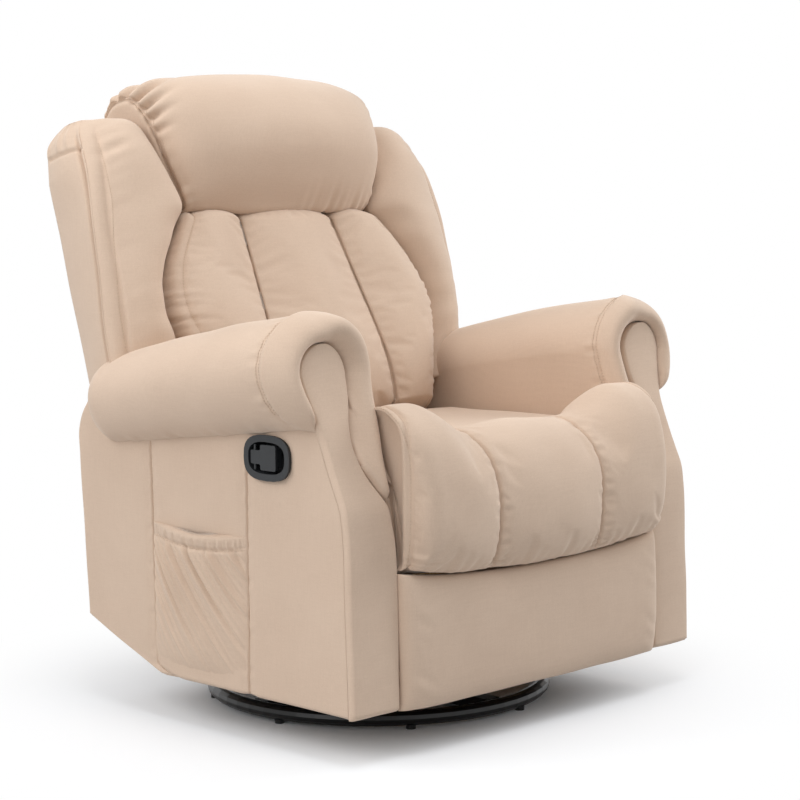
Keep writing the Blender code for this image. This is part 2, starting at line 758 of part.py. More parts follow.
def rocker_cams(plastic, parent):
    """Rocker blocks under the side rails: a round nose about the rocking axis between two rising flanks."""
    flank = math.radians(CAM_FLANK)
    half = CAM_LENGTH / 2
    nose = [(CAM_RADIUS * math.sin(a), ROCK_AXIS - CAM_RADIUS * math.cos(a)) for a in spread(-flank, flank, 6)]
    tip_y, tip_z = nose[-1]
    end_z = tip_z + (half - tip_y) * math.tan(flank)
    outline = [(-half, end_z)] + nose + [(half, end_z), (half, CAM_TOP), (-half, CAM_TOP)]
    for side, sign in SIDES.items():
        x = sign * ROCKER_X
        cam = side_plate(f"rocker_cam_{side}", [outline], x - ROCKER_WIDTH / 2, x + ROCKER_WIDTH / 2, plastic)
        hang(cam, parent)


def chassis_rails(wood, fabric, parent):
    panel_front = ARM_REAR - REAR_PANEL_INSET - REAR_PANEL_DEPTH
    for side, sign in SIDES.items():
        x = sign * ROCKER_X
        rail = block(f"side_rail_{side}", (x - RAIL_WIDTH / 2, RAIL_FRONT, RAIL_LOW),
                     (x + RAIL_WIDTH / 2, panel_front - SEAT_GAP, RAIL_TOP), wood, WOOD_BEVEL)
        hang(rail, parent)
    reach = ROCKER_X - RAIL_WIDTH / 2 - SEAT_GAP
    half = CROSS_RAIL_DEPTH / 2
    cross = block("front_cross_rail", (-reach, CROSS_RAIL_Y - half, RAIL_LOW),
                  (reach, CROSS_RAIL_Y + half, RAIL_TOP), wood, WOOD_BEVEL)
    between = ARM_INNER - SEAT_GAP
    half = STRETCHER_DEPTH / 2
    stretcher = block("rear_stretcher", (-between, STRETCHER_Y - half, ARM_BOTTOM + STRETCHER_RISE),
                      (between, STRETCHER_Y + half, RAIL_LOW - SEAT_GAP), wood, WOOD_BEVEL)
    panel = block("rear_panel", (-between, panel_front, REAR_PANEL_LOW),
                  (between, panel_front + REAR_PANEL_DEPTH, REAR_PANEL_HIGH), fabric, REAR_PANEL_BEVEL)
    for obj in (cross, stretcher, panel):
        hang(obj, parent)


def mech_plate(name, sign, steel, parent):
    """One side plate of the recliner mechanism, riveted to the inside of the arm."""
    corners = [(PLATE_FRONT, PLATE_TOP - PLATE_NOSE), (SWING_PIVOT[0] - PLATE_MARGIN, PLATE_HEEL),
               (PLATE_HEEL_REAR, PLATE_HEEL), (PLATE_REAR, BACK_PIVOT[1] - PLATE_TAIL), (PLATE_REAR, PLATE_TOP),
               (PLATE_FRONT, PLATE_TOP)]
    holes = [circle(SWING_PIVOT, RIVET + PIVOT_GAP), circle(BACK_PIVOT, RIVET + PIVOT_GAP)]
    low, high = sorted((sign * PLATE_INNER, sign * PLATE_OUTER))
    hang(side_plate(name, [rounded(corners, PLATE_CORNER)] + holes, low, high, steel), parent)


def link(name, sign, path, x_inner, steel, parent, holes=(), pins=()):
    """A flat link along a path, with rivet holes and fused rivets, each given by its place and inner and outer x."""
    drilled = [circle(hole, RIVET + PIVOT_GAP) for hole in holes]
    low, high = sorted((sign * x_inner, sign * (x_inner + STEEL)))
    bar = side_plate(name, [strip_outline(path, LINK_HALF)] + drilled, low, high, steel)
    for k, (place, x_from, x_to) in enumerate(pins):
        pin = rod(f"{name}_rivet_{k}", (sign * x_from, *place), (sign * x_to, *place), RIVET, steel, 14)
        boolean(bar, pin, "UNION")
    hang(bar, parent)
    return bar


def footrest_links(steel, empties):
    """The double parallelogram on each side: swing link with its crank, thrust link and control link."""
    elbow = (SWING_END[0] - THRUST_RUN, SWING_END[1])
    control_elbow = (CRANK_END[0] - THRUST_RUN, CRANK_END[1])
    middle = STEEL / 2
    for side, sign in SIDES.items():
        link(f"swing_link_{side}", sign, [SWING_PIVOT, SWING_END, CRANK_END], SWING_X, steel, empties["swing"],
             pins=[(SWING_PIVOT, SWING_X + middle, PLATE_OUTER - RIVET_SHORT),
                   (SWING_END, THRUST_X, SWING_X + middle),
                   (CRANK_END, CONTROL_X, SWING_X + middle)])
        link(f"thrust_link_{side}", sign, [SWING_END, elbow, BOARD_PIVOT], THRUST_X, steel, empties["thrust"],
             holes=[SWING_END], pins=[(BOARD_PIVOT, BRACKET_X, THRUST_X + middle)])
        link(f"control_link_{side}", sign, [CRANK_END, control_elbow, CONTROL_PIVOT], CONTROL_X, steel,
             empties["control"], holes=[CRANK_END], pins=[(CONTROL_PIVOT, BRACKET_X, CONTROL_X + middle)])
    reach = SWING_X - SEAT_GAP
    torque = rod("torque_tube", (-reach, *TUBE_PLACE), (reach, *TUBE_PLACE), TORQUE_TUBE, steel, 16)
    hang(torque, empties["swing"])


def footrest(steel, wood, fabric, parent):
    board = block("footrest_board", (-BOARD_HALF, BOARD_FRONT, BOARD_LOW), (BOARD_HALF, BOARD_REAR, BOARD_HIGH),
                  wood, WOOD_BEVEL)
    hang(board, parent)
    leg = BOARD_REAR + SEAT_GAP
    heel = CONTROL_PIVOT[0] + BRACKET_LEG
    top, low = BOARD_PIVOT[1] + BRACKET_LEG, CONTROL_PIVOT[1] - BRACKET_LEG
    corners = [(leg, low - BRACKET_FLARE), (heel, low), (heel, CONTROL_PIVOT[1] + BRACKET_HEEL),
               (BOARD_PIVOT[0] + BRACKET_NOSE, top), (leg, top + BRACKET_FLARE)]
    holes = [circle(BOARD_PIVOT, RIVET + PIVOT_GAP), circle(CONTROL_PIVOT, RIVET + PIVOT_GAP)]
    for side, sign in SIDES.items():
        low_x, high_x = sorted((sign * BRACKET_X, sign * (BRACKET_X + STEEL)))
        plate = side_plate(f"footrest_bracket_{side}", [rounded(corners, BRACKET_CORNER, 3)] + holes,
                           low_x, high_x, steel)
        ends = sorted((sign * (BRACKET_X - BRACKET_FOOT), sign * (BRACKET_X + STEEL / 2)))
        foot = block(f"footrest_foot_{side}", (ends[0], leg, low - BRACKET_LEG),
                     (ends[1], leg + STEEL, top + BRACKET_LEG / 2), steel)
        boolean(plate, foot, "UNION")
        hang(plate, parent)
    face = BOARD_FRONT - SEAT_GAP

    def outer(a, b):
        crown = FOOT_PAD_EDGE + FOOT_PAD_CROWN * (1 - a ** 8) * arch(b)
        return (a * FOOT_PAD_HALF, face - crown, mix(FOOT_PAD_LOW, FOOT_PAD_HIGH, b))

    def inner(a, b):
        return (a * FOOT_PAD_HALF, face, mix(FOOT_PAD_LOW, FOOT_PAD_HIGH, b))

    places = [math.sin(math.pi / 2 * a) for a in spread(-1, 1, 14)]
    rows = [(1 - math.cos(math.pi * b)) / 2 for b in spread(0, 1, 8)]
    hang(pad("footrest_pad", places, rows, outer, inner, fabric), parent)


def seat_frame(wood, steel, parent):
    low = SEAT_RAIL_TOP - SEAT_RAIL_HEIGHT
    reach = PLATE_INNER - SEAT_GAP
    for place, (y_low, y_high) in (("front", SEAT_FRONT_RAIL), ("rear", SEAT_REAR_RAIL)):
        rail = block(f"seat_rail_{place}", (-reach, y_low, low), (reach, y_high, SEAT_RAIL_TOP), wood, WOOD_BEVEL)
        hang(rail, parent)
    for side, sign in SIDES.items():
        ends = sorted((sign * SEAT_RAIL_X, sign * (SEAT_RAIL_X - SEAT_RAIL_WIDTH)))
        rail = block(f"seat_rail_{side}", (ends[0], SEAT_FRONT_RAIL[1] + SEAT_GAP, low),
                     (ends[1], SEAT_REAR_RAIL[0] - SEAT_GAP, SEAT_RAIL_TOP), wood, WOOD_BEVEL)
        hang(rail, parent)
    first, last = SEAT_FRONT_RAIL[0] + SEAT_WIRE_INSET, SEAT_REAR_RAIL[1] - SEAT_WIRE_INSET
    count = SEAT_WIRE_WAVES * SEAT_WIRE_POINTS
    for k in range(SEAT_WIRES):
        middle = (k - (SEAT_WIRES - 1) / 2) * SEAT_WIRE_PITCH
        line = []
        for i in range(count + 1):
            wave = math.sin(2 * math.pi * SEAT_WIRE_WAVES * i / count)
            line.append((middle + SEAT_WIRE_SWING * wave, mix(first, last, i / count),
                         SEAT_RAIL_TOP + SEAT_GAP + SEAT_WIRE))
        hang(tube(f"seat_spring_{k + 1}", line, SEAT_WIRE, steel), parent)


def back_underside(y):
    """Height of the flat lower end of the back cushion over a place on the seat."""
    lean = math.radians(BACK_LEAN)
    foot_y = BACK_PIVOT[0] + LUMBAR_LOW * math.sin(lean)
    foot_z = BACK_PIVOT[1] + LUMBAR_LOW * math.cos(lean)
    return foot_z - (y - foot_y) * math.tan(lean)


def seat_pads(fabric, parent):
    """The crowned seat cushion and the channelled front roll that wraps over the front rail."""
    floor = SEAT_RAIL_TOP + 2 * SEAT_GAP + 2 * SEAT_WIRE
    crease = BOLSTER_Y + BOLSTER_REACH * math.cos(math.radians(BOLSTER_START))

    def top(a, b):
        crown = math.sqrt(max(1 - a ** 6, 0.0)) * arch(mix(0.12, 1.0, b))
        y = max(mix(SEAT_PAD_FRONT, SEAT_PAD_REAR, b), crease + SEAT_CREASE)
        height = min(SEAT_PAD_EDGE + SEAT_PAD_CROWN * crown, back_underside(y) - BACK_PAD_GAP)
        return (a * PAD_HALF, y, height)

    def under(a, b):
        return (a * PAD_HALF, max(mix(SEAT_PAD_FRONT, SEAT_PAD_REAR, b), crease + SEAT_CREASE), floor)

    columns = [math.sin(math.pi / 2 * a) for a in spread(-1, 1, 14)]
    rows = [(1 - math.cos(math.pi * b)) / 2 for b in spread(0.12, 1, 8)]
    hang(pad("seat_cushion", columns, rows, top, under, fabric), parent)

    edges = [-1.0, -CHANNEL_SHARE, CHANNEL_SHARE, 1.0]
    rail_front, rail_rear = SEAT_FRONT_RAIL
    seam = math.radians(BOLSTER_END)
    seam_y = BOLSTER_Y + BOLSTER_REACH * math.cos(seam)
    seam_z = BOLSTER_Z + BOLSTER_RISE * math.sin(seam)
    lining = [(crease, floor + LINING_RISE), (crease, floor), (rail_rear + LINING_EASE, floor),
              (rail_front - LINING_EASE, floor), (rail_front - LINING_STEP, floor - LINING_DROP),
              (rail_front - LINING_LEAN, seam_z + LINING_HEM), (seam_y + LINING_HEM, seam_z)]

    def drawn(a):
        """0 over most of the roll, rising as a quarter ellipse to 1 at its ends."""
        share = max(abs(a) - BOLSTER_ROUND, 0.0) / (1 - BOLSTER_ROUND)
        return 1 - math.sqrt(1 - share * share)

    def skin(a, b):
        sewn = abs(a) < (1 + CHANNEL_SHARE) / 2
        swell = 1 - CHANNEL_DROP * (1 - panel_crown(a, edges)) if sewn else 1.0
        angle = math.radians(mix(BOLSTER_START, BOLSTER_END, b))
        reach, rise = BOLSTER_REACH * swell * math.cos(angle), BOLSTER_RISE * swell * math.sin(angle)
        saddle = 1 - BOLSTER_SADDLE * max(math.sin(angle), 0.0) * (1 - smooth(0.30, 0.70, abs(a)))
        y = BOLSTER_Y + reach + BOLSTER_END_DRAW * drawn(a) * max(-math.cos(angle), 0.0)
        z = BOLSTER_Z + rise * saddle - BOLSTER_END_FALL * drawn(a) * max(math.sin(angle), 0.0)
        return (a * PAD_HALF, y, z + BOLSTER_SEAM_RISE * a * a * max(-math.sin(angle), 0.0))

    def lined(a, b):
        place = b * (len(lining) - 1)
        k = min(int(place), len(lining) - 2)
        y = mix(lining[k][0], lining[k + 1][0], place - k)
        z = mix(lining[k][1], lining[k + 1][1], place - k)
        seam_share = smooth(len(lining) - 3, len(lining) - 1, place)
        y -= BOLSTER_END_DRAW * drawn(a) * math.cos(seam) * seam_share
        return (a * PAD_HALF, y, z - BOLSTER_SEAM_RISE * a * a * math.sin(seam) * seam_share)

    hang(pad("front_bolster", panel_places(edges, 6), spread(0, 1, 12), skin, lined, fabric), parent)


def arm(side, sign, fabric, parent):
    """One arm: the upholstered side panel, the roll that straddles its top edge and the front facing."""
    front = [(front_edge(z), z) for z in spread(SWEEP_LOW, SWEEP_HIGH, SWEEP_STEPS)]
    crest_y = spread(ROLL_FRONT, ROLL_REAR - ROLL_OVERHANG, 5)
    crest = [(y, roll_middle(y) - ROLL_SEAT) for y in crest_y]
    outline = [(ARM_REAR - ARM_REAR_SLOPE, ARM_REAR_BOTTOM), (ARM_KINK, ARM_BOTTOM), (ARM_FRONT, ARM_BOTTOM)]
    outline += front + crest[1:] + [(ARM_REAR, ARM_SHOULDER)]
    low, high = sorted((sign * ARM_INNER, sign * ARM_OUTER))
    panel = side_plate(f"arm_side_{side}", [outline], low, high, fabric)
    hang(panel, parent)

    rings = []
    notch_out, notch_in = ARM_OUTER + SEAT_GAP, ARM_INNER - SEAT_GAP
    stations = spread(ROLL_FRONT, ROLL_REAR, 10)
    for y in stations:
        radius, middle = roll_radius(y), roll_middle(y)
        start = -math.acos((notch_out - ROLL_X) / radius)
        stop = 2 * math.pi - math.acos((notch_in - ROLL_X) / radius)
        ring = [(ROLL_X + radius * math.cos(t), middle + radius * math.sin(t)) for t in spread(start, stop, 22)]
        seat = middle - ROLL_SEAT + SEAT_GAP
        ring += [(notch_in, seat), (notch_out, seat)]
        rings.append([(sign * x, y, z) for x, z in ring])
    hang(loft(f"arm_roll_{side}", rings, fabric), parent)
    arm_facing(side, sign, fabric, parent)
    return panel


def arm_facing(side, sign, fabric, parent):
    """The padded strip down the front of the arm, with a round head on the end of the roll."""
    base_x = (ARM_INNER + ARM_OUTER) / 2
    foot = ARM_BOTTOM + FACING_FOOT_RISE
    head = FACING_TOP - FACING_HEAD / 2

    def outline(a, z):
        rise = smooth(SWEEP_LOW, SWEEP_HIGH, z)
        half = mix(FACING_WIDTH, FACING_HEAD, rise) / 2
        if z > head:
            half *= math.sqrt(max(1 - ((z - head) / (FACING_HEAD / 2)) ** 2, 0.02))
        return mix(base_x, ROLL_X + FACING_HEAD_SHIFT, rise) + a * half, front_edge(z), z

    def outer(a, z):
        x, y, z = outline(a, z)
        return (sign * x, y - SEAT_GAP - FACING_DEPTH - FACING_CROWN * (1 - a ** 4), z)

    def inner(a, z):
        x, y, z = outline(a, z)
        return (sign * x, y - SEAT_GAP, z)

    rows = [foot, mix(foot, SWEEP_LOW, 0.5)] + spread(SWEEP_LOW, SWEEP_HIGH, SWEEP_STEPS)
    rows += [mix(head, FACING_TOP, math.sin(math.pi / 2 * k / 6)) for k in range(7)]
    hang(pad(f"arm_facing_{side}", spread(-1, 1, 6), rows, outer, inner, fabric), parent)


def side_pocket(fabric, parent):
    """The magazine pocket on the right arm: a cloth front standing off the panel, closed at sides and foot."""
    face = -ARM_OUTER - SEAT_GAP
    pocket = block("side_pocket", (face - POCKET_DEPTH, POCKET_FRONT, POCKET_FOOT),
                   (face, POCKET_REAR, POCKET_TOP), fabric, POCKET_BEVEL)
    hollow = block("pocket_hollow", (face - POCKET_DEPTH + POCKET_CLOTH, POCKET_FRONT + POCKET_HEM,
                                     POCKET_FOOT + POCKET_HEM),
                   (face + POCKET_DEPTH, POCKET_REAR - POCKET_HEM, POCKET_TOP + POCKET_DEPTH), fabric)
    boolean(pocket, hollow, "DIFFERENCE")
    hang(pocket, parent)


def cup_outline(length, height):
    """A full oval with flattened long sides, as (y, z) points round the cup's middle."""
    points = []
    for i in range(28):
        angle = 2 * math.pi * i / 28
        c, s = math.cos(angle), math.sin(angle)
        y = length / 2 * math.copysign(abs(c) ** OVAL_POWER, c)
        points.append((CUP_Y + y, CUP_Z + height / 2 * math.copysign(abs(s) ** OVAL_POWER, s)))
    return points


def oval_half_height(length, height, offset):
    """Half the oval's height at a distance along its length from its middle."""
    c = (abs(offset) / (length / 2)) ** (1 / OVAL_POWER)
    return height / 2 * math.sqrt(1 - c * c) ** OVAL_POWER


def release_handle(plastic, arm_panel, chassis, hinge):
    """The moulded finger cup let into the right arm, and the T-shaped paddle hinged across its rear end."""
    floor_x = CUP_DEPTH - ARM_OUTER
    clear = CUP_DEPTH / 2
    hole = side_plate("cup_hole", [cup_outline(BODY_LENGTH + 2 * SEAT_GAP, BODY_HEIGHT + 2 * SEAT_GAP)],
                      CUP_FACE - clear, floor_x + SEAT_GAP, plastic)
    boolean(arm_panel, hole, "DIFFERENCE")
    cup = side_plate("handle_cup", [cup_outline(CUP_LENGTH, CUP_HEIGHT)],
                     CUP_FACE - RIM_THICKNESS, CUP_FACE, plastic)
    body = side_plate("cup_body", [cup_outline(BODY_LENGTH, BODY_HEIGHT)],
                      CUP_FACE - RIM_THICKNESS / 2, floor_x, plastic)
    boolean(cup, body, "UNION")
    well = side_plate("cup_well", [cup_outline(WELL_LENGTH, WELL_HEIGHT)],
                      CUP_FACE - clear, floor_x - CUP_WALL, plastic)
    boolean(cup, well, "DIFFERENCE")
    hang(cup, chassis)

    front = CUP_Y - WELL_LENGTH / 2 + LEVER_FINGER
    wide, stem = WELL_HEIGHT / 2 - LEVER_SIDE_GAP, LEVER_STEM_HEIGHT / 2
    neck = LEVER_REAR - LEVER_STEM
    corners = [(front, -wide), (neck, -wide), (neck, -stem), (LEVER_REAR, -stem), (LEVER_REAR, stem), (neck, stem),
               (neck, wide), (front, wide)]
    outline = rounded([(y, CUP_Z + z) for y, z in corners], LEVER_CORNER, 3)
    lever = side_plate("release_lever", [outline], LEVER_TOP, LEVER_TOP + LEVER_THICKNESS, plastic)
    lip_y, lip_half = front + LEVER_PIN / 2, wide - LEVER_CORNER - LEVER_PIN
    lip = block("lever_lip", (LEVER_TOP + LEVER_THICKNESS / 4, lip_y, CUP_Z - lip_half),
                (LEVER_TOP + LEVER_LIP_DEPTH, lip_y + LEVER_LIP_THICKNESS, CUP_Z + lip_half), plastic)
    boolean(lever, lip, "UNION")
    pin_x, pin_y, _ = LEVER_AXIS
    reach = oval_half_height(WELL_LENGTH, WELL_HEIGHT, pin_y - CUP_Y + LEVER_PIN) - SEAT_GAP
    pin = rod("lever_pin", (pin_x, pin_y, CUP_Z - reach), (pin_x, pin_y, CUP_Z + reach), LEVER_PIN, plastic, 12)
    boolean(lever, pin, "UNION")
    hang(lever, hinge)


def table(rows, value):
    """The second column of a table at a value of its first, straight between its rows."""
    for (low, first), (high, last) in zip(rows, rows[1:]):
        if value <= high:
            return mix(first, last, max((value - low) / (high - low), 0.0))
    return rows[-1][1]


def centre_half(z):
    """Half width of the middle pads of the back at a height up the back."""
    return table(LUMBAR_WIDTHS + PILLOW_WIDTHS, z)


def back_frame(wood, fabric, parent):
    post_in, post_out = POST_X - POST_WIDTH / 2, POST_X + POST_WIDTH / 2
    for side, sign in SIDES.items():
        low, high = sorted((sign * post_in, sign * post_out))
        post = block(f"back_post_{side}", (low, FRAME_FRONT, POST_LOW), (high, FRAME_REAR, POST_HIGH),
                     wood, WOOD_BEVEL)
        hang(post, parent, local=True)
    for place, z in (("lower", BACK_RAIL_LOW), ("upper", BACK_RAIL_HIGH)):
        rail = block(f"back_rail_{place}", (-post_in + SEAT_GAP, FRAME_FRONT, z),
                     (post_in - SEAT_GAP, FRAME_REAR, z + BACK_RAIL_HEIGHT), wood, WOOD_BEVEL)
        hang(rail, parent, local=True)
    half = [(OUTER_NECK, OUTER_LOW), (OUTER_NECK, OUTER_STEP - OUTER_STEP_RISE), (OUTER_HALF, OUTER_STEP)]
    half += [(OUTER_HALF * math.cos(t), OUTER_ARCH + (OUTER_TOP - OUTER_ARCH) * math.sin(t))
             for t in spread(0, math.pi / 2, 8)[:-1]]
    outline = half + [(0.0, OUTER_TOP)] + [(-x, z) for x, z in reversed(half)]
    outer = flat("back_outer_panel", [outline], OUTER_PANEL, fabric)
    outer.location.y = FRAME_REAR + SEAT_GAP + OUTER_PANEL / 2
    outer.rotation_euler.x = math.pi / 2
    hang(outer, parent, local=True)


def back_brackets(steel, parent):
    """The steel bracket on each post, with the rivet on which the back turns in the mechanism plate."""
    face = POST_X + POST_WIDTH / 2 + SEAT_GAP
    eye = BACK_BRACKET_EYE
    corners = [(-eye, -eye), (eye, -eye), (FRAME_REAR, BACK_BRACKET_NECK), (FRAME_REAR, BACK_BRACKET_TOP),
               (FRAME_FRONT, BACK_BRACKET_TOP), (FRAME_FRONT, BACK_BRACKET_NECK)]
    for side, sign in SIDES.items():
        low, high = sorted((sign * face, sign * (face + STEEL)))
        bracket = side_plate(f"back_bracket_{side}", [rounded(corners, BACK_BRACKET_CORNER, 3)], low, high, steel)
        shank = rod(f"back_pin_{side}", (sign * (face + STEEL / 2), 0, 0),
                    (sign * (PLATE_OUTER - RIVET_SHORT), 0, 0), RIVET, steel, 14)
        collar = rod(f"back_collar_{side}", (sign * (face + STEEL / 2), 0, 0),
                     (sign * (PLATE_INNER - SEAT_GAP), 0, 0), RIVET_HEAD, steel, 14)
        boolean(bracket, shank, "UNION")
        boolean(bracket, collar, "UNION")
        hang(bracket, parent, local=True)


def lumbar(fabric, parent):
    """The three-channel back cushion, deep at the small of the back and thin under the head pillow."""
    edges = [-1.0, -BACK_CHANNEL_SHARE, BACK_CHANNEL_SHARE, 1.0]
    rest = FRAME_FRONT - SEAT_GAP

    def place(a, b):
        z = mix(LUMBAR_LOW, LUMBAR_HIGH, b)
        return a * centre_half(z), z

    def outer(a, b):
        x, z = place(a, b)
        depth = mix(LUMBAR_FOOT_DEPTH, LUMBAR_HEAD_DEPTH, smooth(0.15, 1.0, b)) * arch(mix(0.04, 0.97, b))
        crown = mix(LUMBAR_SEAM_SHARE, 1.0, panel_crown(a, edges))
        if a in (edges[0], edges[-1]):
            crown = LUMBAR_SIDE_SHARE
        return (x, rest - LUMBAR_EDGE - depth * crown * math.sqrt(max(1 - a ** 6, 0.25)), z)

    def inner(a, b):
        x, z = place(a, b)
        return (x, rest, z)

    hang(pad("back_cushion", panel_places(edges, 6), spread(0, 1, 12), outer, inner, fabric), parent, local=True)


def head_pillow(fabric, parent):
    rest = FRAME_FRONT - SEAT_GAP

    def place(a, b):
        z = mix(PILLOW_LOW, PILLOW_HIGH, b) - PILLOW_CORNER * a ** 4 * b * b
        return a * centre_half(z), z

    def outer(a, b):
        x, z = place(a, b)
        crown = math.sqrt(max(1 - a ** 4, 0.0)) * arch(mix(0.03, 1.0, b))
        crown *= mix(1.0, PILLOW_TOP_CROWN, smooth(0.3, 1.0, b))
        edge = PILLOW_EDGE * mix(1.0, PILLOW_TOP_SHARE, smooth(0.5, 1.0, b))
        return (x, rest - edge - PILLOW_DEPTH * crown, z)

    def inner(a, b):
        x, z = place(a, b)
        back = mix(rest, FRAME_REAR, smooth(POST_HIGH + PILLOW_STEP_LOW, POST_HIGH + PILLOW_STEP_HIGH, z))
        return (x, back, z)

    columns = [math.sin(math.pi / 2 * a) for a in spread(-1, 1, 14)]
    hang(pad("head_pillow", columns, spread(0, 1, 12), outer, inner, fabric), parent, local=True)


def wing(side, sign, fabric, parent):
    """The side bolster of the back: a flat flanked pad whose front swells between its flange and the middle pads."""
    def place(a, b, edge):
        z = mix(WING_LOW, WING_HIGH, b)
        inner_x = centre_half(z) + WING_GAP
        outer_x = edge * mix(1.0, WING_TOP_SHARE, smooth(0.60, 1.0, b) ** 2)
        return mix(inner_x, outer_x, a), z - WING_TOP_FALL * smooth(0.5, 1.0, b) * a ** 2

    def outer(a, b):
        x, z = place(a, b, WING_OUTER)
        edge = mix(WING_INNER, WING_FLANGE, a)
        swell = (WING_FRONT - edge) * max(math.sin(math.pi * a), 0.0) * arch(mix(0.10, 0.98, b))
        return (sign * x, edge + swell, z)

    def inner(a, b):
        x, z = place(a, b, WING_REAR)
        return (sign * x, FRAME_REAR, z)

    columns = [(1 - math.cos(math.pi * a)) / 2 for a in spread(0, 1, 9)]
    knots = [z for z, _ in LUMBAR_WIDTHS + PILLOW_WIDTHS if WING_LOW + 0.01 < z < WING_HIGH - 0.01]
    knots = sorted(knots + [mix(WING_LOW, WING_HIGH, share) for share in (0, 0.22, 0.4, 0.93, 0.98, 1)])
    rows = [(z - WING_LOW) / (WING_HIGH - WING_LOW) for z in knots]
    hang(pad(f"back_wing_{side}", columns, rows, outer, inner, fabric), parent, local=True)


def main():
    global PARTS, CUTTERS
    clear_scene()
    PARTS = new_collection("swivel_rocker_recliner")
    CUTTERS = new_collection("cutters")
    CUTTERS.hide_render = True

    fabric = new_material("beige_fabric", (0.60, 0.45, 0.34), 0.85)
    black = new_material("black_steel", (0.012, 0.012, 0.013), 0.35, 0.6)
    zinc = new_material("zinc_steel", (0.42, 0.43, 0.45), 0.40, 0.9)
    plastic = new_material("black_plastic", (0.020, 0.022, 0.025), 0.45)
    wood = new_material("pine_frame", (0.55, 0.38, 0.20), 0.70)

    base = joint_empty("swivel_base", (0, 0, 0))
    turntable = joint_empty("swivel_axis", (0, 0, RACE_MIDDLE), base)
    chassis = joint_empty("rock_axis", (0, 0, ROCK_AXIS), turntable)
    back = joint_empty("back_hinge", (0, *BACK_PIVOT), chassis, BACK_LEAN)
    lever = joint_empty("lever_hinge", LEVER_AXIS, chassis)
    swing = joint_empty("swing_hinge", (0, *SWING_PIVOT), chassis)
    thrust = joint_empty("thrust_hinge", (0, *SWING_END), swing)
    control = joint_empty("control_hinge", (0, *CRANK_END), swing)
    foot = joint_empty("footrest_hinge", (0, *BOARD_PIVOT), thrust)

    base_ring(black, base)
    base_cross(black, base)
    races(zinc, base, turntable)
    rocker_base(black, turntable)
    rocker_springs(zinc, turntable)
    rocker_cams(plastic, chassis)
    chassis_rails(wood, fabric, chassis)
    seat_frame(wood, zinc, chassis)
    seat_pads(fabric, chassis)
    for side, sign in SIDES.items():
        panel = arm(side, sign, fabric, chassis)
        mech_plate(f"mech_plate_{side}", sign, zinc, chassis)
    side_pocket(fabric, chassis)
    release_handle(plastic, panel, chassis, lever)
    footrest_links(zinc, {"swing": swing, "thrust": thrust, "control": control})
    footrest(zinc, wood, fabric, foot)
    back_frame(wood, fabric, back)
    back_brackets(zinc, back)
    lumbar(fabric, back)
    head_pillow(fabric, back)
    for side, sign in SIDES.items():
        wing(side, sign, fabric, back)


main()
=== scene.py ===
"""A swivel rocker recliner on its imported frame: sewn pads, stitching, finishes, studio light and camera."""

import math

import bpy
import numpy as np
from mathutils import Matrix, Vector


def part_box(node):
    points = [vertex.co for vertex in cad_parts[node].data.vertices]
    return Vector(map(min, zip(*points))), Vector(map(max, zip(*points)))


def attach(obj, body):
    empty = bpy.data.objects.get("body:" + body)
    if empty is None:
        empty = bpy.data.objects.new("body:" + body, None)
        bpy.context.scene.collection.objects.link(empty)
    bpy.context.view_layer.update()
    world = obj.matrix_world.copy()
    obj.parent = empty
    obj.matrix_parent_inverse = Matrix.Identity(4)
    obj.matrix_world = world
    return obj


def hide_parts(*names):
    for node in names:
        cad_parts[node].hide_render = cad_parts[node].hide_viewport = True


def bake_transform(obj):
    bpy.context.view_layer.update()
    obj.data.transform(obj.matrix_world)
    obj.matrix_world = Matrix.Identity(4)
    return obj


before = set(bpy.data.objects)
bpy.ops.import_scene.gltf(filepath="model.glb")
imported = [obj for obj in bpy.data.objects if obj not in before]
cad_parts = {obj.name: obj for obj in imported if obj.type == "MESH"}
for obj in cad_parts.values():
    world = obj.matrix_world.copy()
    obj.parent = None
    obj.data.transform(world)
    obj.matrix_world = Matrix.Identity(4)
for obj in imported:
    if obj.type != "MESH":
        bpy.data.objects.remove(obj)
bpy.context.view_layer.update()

BACK_LEAN = math.radians(17)
BACK_PIVOT = (0.2035, 0.3385)
BACK_REST = -0.0213
SHELL_REAR = 0.028

LUMBAR_S = (0.085, 0.160, 0.240, 0.300, 0.370, 0.440, 0.490)
LUMBAR_HALF = (0.250, 0.264, 0.294, 0.308, 0.292, 0.250, 0.212)

ROLL_X, ROLL_FRONT, ROLL_REAR = 0.369, -0.262, 0.200
ROLL_TOP, ROLL_LENGTH, ROLL_RADII, ROLL_FOOT = 0.672, 0.540, (0.090, 0.068), (0.3005, 0.388)
ARM_INNER, ARM_OUTER, ARM_BOTTOM = 0.305, 0.400, 0.0745
FRONT_Z = (0.070, 0.250, 0.350, 0.385, 0.410, 0.435, 0.460, 0.500, 0.540, 0.580, 0.680)
FRONT_Y = (-0.350, -0.344, -0.340, -0.3345, -0.3235, -0.312, -0.3015, -0.286, -0.273, -0.2635, -0.262)
FACING_Z = (0.070, 0.360, 0.385, 0.400, 0.420, 0.445, 0.470, 0.500, 0.535, 0.580)
FACING_IN = (0.303, 0.305, 0.309, 0.317, 0.329, 0.339, 0.3435, 0.340, 0.331, 0.3265)
FACING_OUT = (0.400, 0.400, 0.400, 0.400, 0.400, 0.400, 0.400, 0.402, 0.411, 0.4215)
HEAD_X, HEAD_Z, HEAD_RADIUS = 0.374, 0.5795, 0.0475
CUP_Y, CUP_Z, CUP_LENGTH, CUP_HEIGHT = -0.178, 0.4505, 0.104, 0.070
POCKET_FRONT, POCKET_REAR, POCKET_FOOT, POCKET_TOP = -0.1215, 0.1115, 0.0925, 0.3245

SIDES = {"left": 1, "right": -1}
SEWN = {"back": [], "chassis": []}
COVER_GROWTH = 0.012


def mix(low, high, share):
    return low + (high - low) * share


